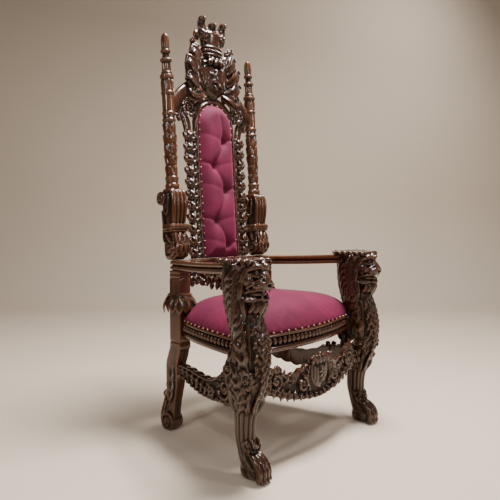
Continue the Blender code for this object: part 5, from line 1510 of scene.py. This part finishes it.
def turned_column(carving):
    """A lathe grid r(z) (1 + leaves + reeds), with each ring moulding a half circle on the profile."""
    r, h, foot = 0.0305, COLUMN_HEIGHT, CONSOLE_HEIGHT + GAP
    # height share and radius share
    profile = [
        (0.0, 0.97), (0.028, 0.97), (0.034, 0.84), (0.058, 0.8), (0.085, 0.76), (0.15, 0.75), (0.28, 0.84),
        (0.37, 0.82), (0.425, 0.8), (0.47, 0.82), (0.492, 0.83), (0.6, 0.83), (0.622, 0.83), (0.68, 0.8),
        (0.7, 0.76), (0.735, 0.62), (0.81, 0.58), (0.834, 0.5), (0.868, 0.42), (0.896, 0.52), (0.93, 0.56),
        (0.96, 0.53), (0.985, 0.44), (0.996, 0.26),
    ]
    # height share, half height and radius of each ring
    mouldings = [
        (0.014, 0.016, 1.0), (0.046, 0.009, 0.9), (0.066, 0.011, 0.97), (0.438, 0.011, 0.95),
        (0.481, 0.011, 0.95), (0.612, 0.01, 0.95), (0.716, 0.014, 0.98), (0.742, 0.006, 0.78),
        (0.822, 0.01, 0.84), (0.88, 0.011, 0.72),
    ]
    z = np.linspace(0, 0.996, 280)
    knots = np.array(profile).T
    base = np.interp(z, *knots)
    for middle, half, reach in mouldings:
        arc = np.sqrt(np.maximum(0, 1 - ((z - middle) / half) ** 2))
        base = np.maximum(base, np.where(arc > 0, reach - 0.14 * (1 - arc), 0))
    a = turns(60)[None]
    tall = z[:, None]
    swell = scales(tall, a + 5 * tall, (0.078, 0.425), 5, 5, 0.27) + scales(tall, a, (0.622, 0.7), 1, 8, 0.2)
    swell = swell + flutes(tall, a, (0.75, 0.812), 10, 0.18) + flutes(tall, a, (0.834, 0.872), 8, 0.16)
    swell = swell + flutes(tall, a, (0.892, 0.985), 8, 0.2)
    wide = r * base[:, None] * (1 + swell)
    rings = np.stack([wide * np.cos(a) - COLUMN_X, wide * np.sin(a), foot + tall * h + 0 * a], -1)
    carving.shell(rings)


# Stage


def sweep(colour):
    """A floor that bends up into a plain wall behind the throne, facing the photograph's view."""
    a = np.linspace(0, 0.5, 16) * np.pi
    bend = np.column_stack([3.2 + 1.2 * np.sin(a), 1.2 - 1.2 * np.cos(a)])
    profile = np.vstack([(-6.0, 0.0), bend, (4.4, 6.0)])
    x = np.linspace(-7, 7, 3)
    grid = np.array([[(side, ahead, up) for side in x] for ahead, up in profile])
    corners = [3 * k + j for k in range(len(profile) - 1) for j in (0, 1)]
    faces = [(corner, corner + 1, corner + 4, corner + 3) for corner in corners]
    mesh = bpy.data.meshes.new("sweep")
    mesh.from_pydata(grid.reshape(-1, 3), [], faces)
    mesh.transform(Matrix.Rotation(math.radians(CAMERA_TURN[2]), 4, "Z"))
    mesh.materials.append(colour)
    mesh.shade_smooth()
    obj = bpy.data.objects.new("sweep", mesh)
    bpy.context.scene.collection.objects.link(obj)


def lamp(name, place, aim, size, power, colour=(1, 1, 1)):
    """A soft area light at a place, turned towards an aim."""
    light = bpy.data.lights.new(name, "AREA")
    light.shape = "RECTANGLE"
    light.size, light.size_y = size
    light.energy = power
    light.color = colour
    obj = bpy.data.objects.new(name, light)
    obj.location = place
    obj.rotation_euler = (Vector(aim) - Vector(place)).to_track_quat("-Z", "Y").to_euler()
    bpy.context.scene.collection.objects.link(obj)


def photograph_camera():
    """The photograph's camera, fitted to the throne."""
    data = bpy.data.cameras.new("camera")
    data.lens = CAMERA_LENS
    data.sensor_width = 36.0
    camera = bpy.data.objects.new("camera", data)
    camera.location = CAMERA_PLACE
    camera.rotation_euler = [math.radians(turn) for turn in CAMERA_TURN]
    bpy.context.scene.collection.objects.link(camera)
    bpy.context.scene.camera = camera


# Panel, properties and operators


def tint(name, description, default):
    """A colour property."""
    return bpy.props.FloatVectorProperty(
        name=name, description=description, default=default, subtype="COLOR", size=3, min=0.0, max=1.0
    )


def length(name, description, default):
    """A length property in metres."""
    return bpy.props.FloatProperty(
        name=name, description=description, default=default, min=0.0005, unit="LENGTH", precision=4
    )


class ThroneFinish(bpy.types.PropertyGroup):
    """Colours and polish of the throne."""

    carved_colour: tint("Carved wood", "Body colour of the dark carved mahogany", (0.0165, 0.0056, 0.0028))
    carved_light: tint("Carved wood, rubbed", "Its light streaks and rubbed ridges", (0.068, 0.0235, 0.0105))
    turned_colour: tint("Turned wood", "Body colour of the posts, arms and columns", (0.026, 0.0083, 0.0032))
    turned_light: tint("Turned wood, rubbed", "Its light streaks and rubbed ridges", (0.108, 0.037, 0.0145))
    # Hollow colour: the old polish and dust in the carving's hollows together with painted shade there
    hollow_dust_and_shade_colour: tint("Hollows", "Old polish and dust in the carving's hollows", (0.0022, 0.0012, 0.0008))
    velvet_colour: tint("Velvet", "Body colour of the wine velvet", (0.102, 0.0066, 0.0218))
    velvet_light: tint("Velvet, bright", "Its pile where it catches the light", (0.5, 0.08, 0.19))
    velvet_dark: tint("Velvet, crushed", "Its pile where it is pressed", (0.05, 0.0038, 0.0115))
    nail_colour: tint("Nails", "Antique brass of the nail heads", (0.56, 0.4, 0.24))
    paper_colour: tint("Studio paper", "The plain floor and wall", (0.64, 0.525, 0.41))
    gloss: bpy.props.FloatProperty(
        name="Polish", description="Least roughness of the wood", default=0.11, min=0, max=1, subtype="FACTOR"
    )


class ThroneSizes(bpy.types.PropertyGroup):
    """Sizes that the carver and the upholsterer would choose."""

    leg_grain: length("Lion leg fineness", "Size of the finest detail of the front legs", 0.0022)
    carving_grain: length("Carving fineness", "Size of the finest detail of the other carving", 0.0021)
    seat_crown: length("Seat crown", "Height of the cushion's crown over its rail", 0.112)
    nail_pitch: length("Seat nail spacing", "Distance between the nails of the seat", 0.0365)
    back_nail_pitch: length("Back nail spacing", "Distance between the nails of the back", 0.033)


class ThroneOperator:
    """What the throne's operators share: the finishes and sizes, and a result."""

    bl_options = {"REGISTER", "UNDO"}

    def execute(self, context):
        self.build(finishes(context), context.scene.throne_sizes)
        return {"FINISHED"}


def shaped(build, *values, leaned=False):
    """A new carving that a function has filled, leaned where it belongs to the back."""
    carving = Carving()
    build(carving, *values)
    if leaned:
        carving.placed(back_lean())
    return carving


class THRONE_OT_front_legs(ThroneOperator, bpy.types.Operator):
    """Carve the two lion legs"""

    bl_idname = "throne.front_legs"
    bl_label = "Front Legs"

    def build(self, look, sizes):
        carving = shaped(lion_leg)
        leg = carved("lion_leg_left", carving, sizes.leg_grain, look["carved"])
        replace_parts(leg, "front_leg_left")
        mirrored(leg, "lion_leg_right", "front_leg_right")


class THRONE_OT_rear_legs(ThroneOperator, bpy.types.Operator):
    """Carve the two rear legs with their posts"""

    bl_idname = "throne.rear_legs"
    bl_label = "Rear Legs"

    def build(self, look, sizes):
        carving = shaped(rear_post)
        leg = carved("post_leg_left", carving, sizes.carving_grain, look["turned"], "turned_wood")
        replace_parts(leg, "rear_leg_left")
        mirrored(leg, "post_leg_right", "rear_leg_right")


class THRONE_OT_arms(ThroneOperator, bpy.types.Operator):
    """Run the two moulded arms"""

    bl_idname = "throne.arms"
    bl_label = "Arms"

    def build(self, look, sizes):
        carving = shaped(moulded_arm)
        rest = new_object("arm_rest_left", *carving.joined(), look["turned"], "turned_wood")
        mark_relief(rest)
        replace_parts(rest, "arm_left")
        mirrored(rest, "arm_rest_right", "arm_right")


class THRONE_OT_seat_rails(ThroneOperator, bpy.types.Operator):
    """Mould the seat rails with their bead rows"""

    bl_idname = "throne.seat_rails"
    bl_label = "Seat Rails"

    def build(self, look, sizes):
        carving = shaped(beaded_rail, front_line())
        front = new_object("beaded_rail_front", *carving.joined(), look["carved"], "carved_wood")
        mark_relief(front, 3)
        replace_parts(front, "seat_rail_front")
        carving = shaped(beaded_rail, side_line())
        side = new_object("beaded_rail_left", *carving.joined(), look["carved"], "carved_wood")
        mark_relief(side, 3)
        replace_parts(side, "seat_rail_left")
        mirrored(side, "beaded_rail_right", "seat_rail_right")
        rear = bpy.data.objects["seat_rail_rear"]
        rear.material_slots[0].material = look["carved"]


class THRONE_OT_cushion(ThroneOperator, bpy.types.Operator):
    """Stretch the velvet seat over its springs"""

    bl_idname = "throne.cushion"
    bl_label = "Seat Cushion"

    def build(self, look, sizes):
        cushion_piece(look["velvet"], sizes.seat_crown)


class THRONE_OT_stretchers(ThroneOperator, bpy.types.Operator):
    """Carve the front and side stretchers"""

    bl_idname = "throne.stretchers"
    bl_label = "Stretchers"

    def build(self, look, sizes):
        carving = shaped(front_apron)
        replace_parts(carved("apron_front", carving, sizes.carving_grain, look["carved"]), "stretcher_front")
        carving = shaped(side_apron)
        side = carved("apron_left", carving, sizes.carving_grain, look["carved"])
        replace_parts(side, "stretcher_left")
        mirrored(side, "apron_right", "stretcher_right")


class THRONE_OT_lower_back(ThroneOperator, bpy.types.Operator):
    """Carve the rail and swag under the back"""

    bl_idname = "throne.lower_back"
    bl_label = "Lower Back Rail"

    def build(self, look, sizes):
        carving = shaped(lower_back, leaned=True)
        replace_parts(carved("swagged_rail", carving, sizes.carving_grain, look["carved"]), "back_rail")


class THRONE_OT_stiles(ThroneOperator, bpy.types.Operator):
    """Carve the pierced stiles beside the panel"""

    bl_idname = "throne.stiles"
    bl_label = "Back Stiles"

    def build(self, look, sizes):
        carving = shaped(stile, leaned=True)
        left = carved("pierced_stile_left", carving, sizes.carving_grain, look["carved"])
        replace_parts(left, "back_stile_left")
        mirrored(left, "pierced_stile_right", "back_stile_right")


class THRONE_OT_crest(ThroneOperator, bpy.types.Operator):
    """Carve the arch, shield, mantling and crown"""

    bl_idname = "throne.crest"
    bl_label = "Crest"

    def build(self, look, sizes):
        carving = shaped(crest, leaned=True)
        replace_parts(carved("crest", carving, sizes.carving_grain, look["carved"]), "crest_rail")


class THRONE_OT_back_pad(ThroneOperator, bpy.types.Operator):
    """Button the velvet panel of the back"""

    bl_idname = "throne.back_pad"
    bl_label = "Back Pad"

    def build(self, look, sizes):
        pad_piece(look["velvet"])
        pad_buttons(look["velvet"])


class THRONE_OT_consoles(ThroneOperator, bpy.types.Operator):
    """Carve the scrolled consoles"""

    bl_idname = "throne.consoles"
    bl_label = "Consoles"

    def build(self, look, sizes):
        carving = shaped(bracket, leaned=True)
        left = carved("bracket_left", carving, sizes.carving_grain, look["turned"], "turned_wood")
        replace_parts(left, "console_left")
        mirrored(left, "bracket_right", "console_right")


class THRONE_OT_columns(ThroneOperator, bpy.types.Operator):
    """Turn the two leafy columns"""

    bl_idname = "throne.columns"
    bl_label = "Columns"

    def build(self, look, sizes):
        carving = shaped(turned_column, leaned=True)
        left = new_object("leafy_column_left", *carving.joined(), look["turned"], "turned_wood")
        mark_relief(left, 10)
        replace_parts(left, "column_left")
        mirrored(left, "leafy_column_right", "column_right")


class THRONE_OT_nails(ThroneOperator, bpy.types.Operator):
    """Drive the brass nails"""

    bl_idname = "throne.nails"
    bl_label = "Nails"

    def build(self, look, sizes):
        nail_rows(look["brass"], sizes.nail_pitch, sizes.back_nail_pitch)


class THRONE_OT_stage(bpy.types.Operator):
    """Set the studio: paper sweep, lamps and the photograph's camera"""

    bl_idname = "throne.stage"
    bl_label = "Studio"
    bl_options = {"REGISTER", "UNDO"}

    def execute(self, context):
        sweep(paper("studio_paper", context.scene.throne_finish.paper_colour))
        lamp("overhead", (0.4, -0.3, 3.4), (0.0, -0.1, 0.5), (0.9, 0.9), 262)
        lamp("side", (-3.0, -0.4, 2.1), (0, 0, 0.9), (0.22, 1.0), 28)
        lamp("front", (1.5, -3.2, 2.4), (0, 0, 0.9), (0.24, 1.1), 27)
        lamp("high left", (-2.6, -2.0, 3.1), (0, 0, 0.8), (0.24, 0.24), 24)
        lamp("low front", (-0.9, -3.6, 1.5), (0, 0, 0.7), (0.14, 0.9), 13)
        lamp("wall", (3.4, 0.4, 3.4), (3.0, 3.4, 1.6), (2.0, 2.0), 42)
        world = bpy.data.worlds.new("studio")
        world.use_nodes = True
        air = world.node_tree.nodes["Background"]
        air.inputs["Color"].default_value = (0.86, 0.84, 0.8, 1.0)
        air.inputs["Strength"].default_value = 0.18
        context.scene.world = world
        photograph_camera()
        return {"FINISHED"}


STEPS = (
    THRONE_OT_front_legs, THRONE_OT_rear_legs, THRONE_OT_arms, THRONE_OT_seat_rails, THRONE_OT_cushion,
    THRONE_OT_stretchers, THRONE_OT_lower_back, THRONE_OT_stiles, THRONE_OT_crest, THRONE_OT_back_pad,
    THRONE_OT_consoles, THRONE_OT_columns, THRONE_OT_nails, THRONE_OT_stage,
)


class THRONE_PT_panel(bpy.types.Panel):
    """The throne's steps, sizes and colours"""

    bl_idname = "THRONE_PT_panel"
    bl_label = "Carved Throne"
    bl_space_type = "VIEW_3D"
    bl_region_type = "UI"
    bl_category = "Throne"

    def draw(self, context):
        for group in (context.scene.throne_sizes, context.scene.throne_finish):
            column = self.layout.column(align=True)
            for name in group.__annotations__:
                column.prop(group, name)
        column = self.layout.column(align=True)
        for step in STEPS:
            column.operator(step.bl_idname)


CLASSES = (ThroneFinish, ThroneSizes, *STEPS, THRONE_PT_panel)


def register():
    for cls in CLASSES:
        bpy.utils.register_class(cls)
    bpy.types.Scene.throne_finish = bpy.props.PointerProperty(type=ThroneFinish)
    bpy.types.Scene.throne_sizes = bpy.props.PointerProperty(type=ThroneSizes)


def unregister():
    del bpy.types.Scene.throne_sizes
    del bpy.types.Scene.throne_finish
    for cls in reversed(CLASSES):
        bpy.utils.unregister_class(cls)


def main():
    register()
    for step in STEPS:
        getattr(bpy.ops.throne, step.bl_idname.split(".")[1])()


if __name__ == "__main__":
    main()
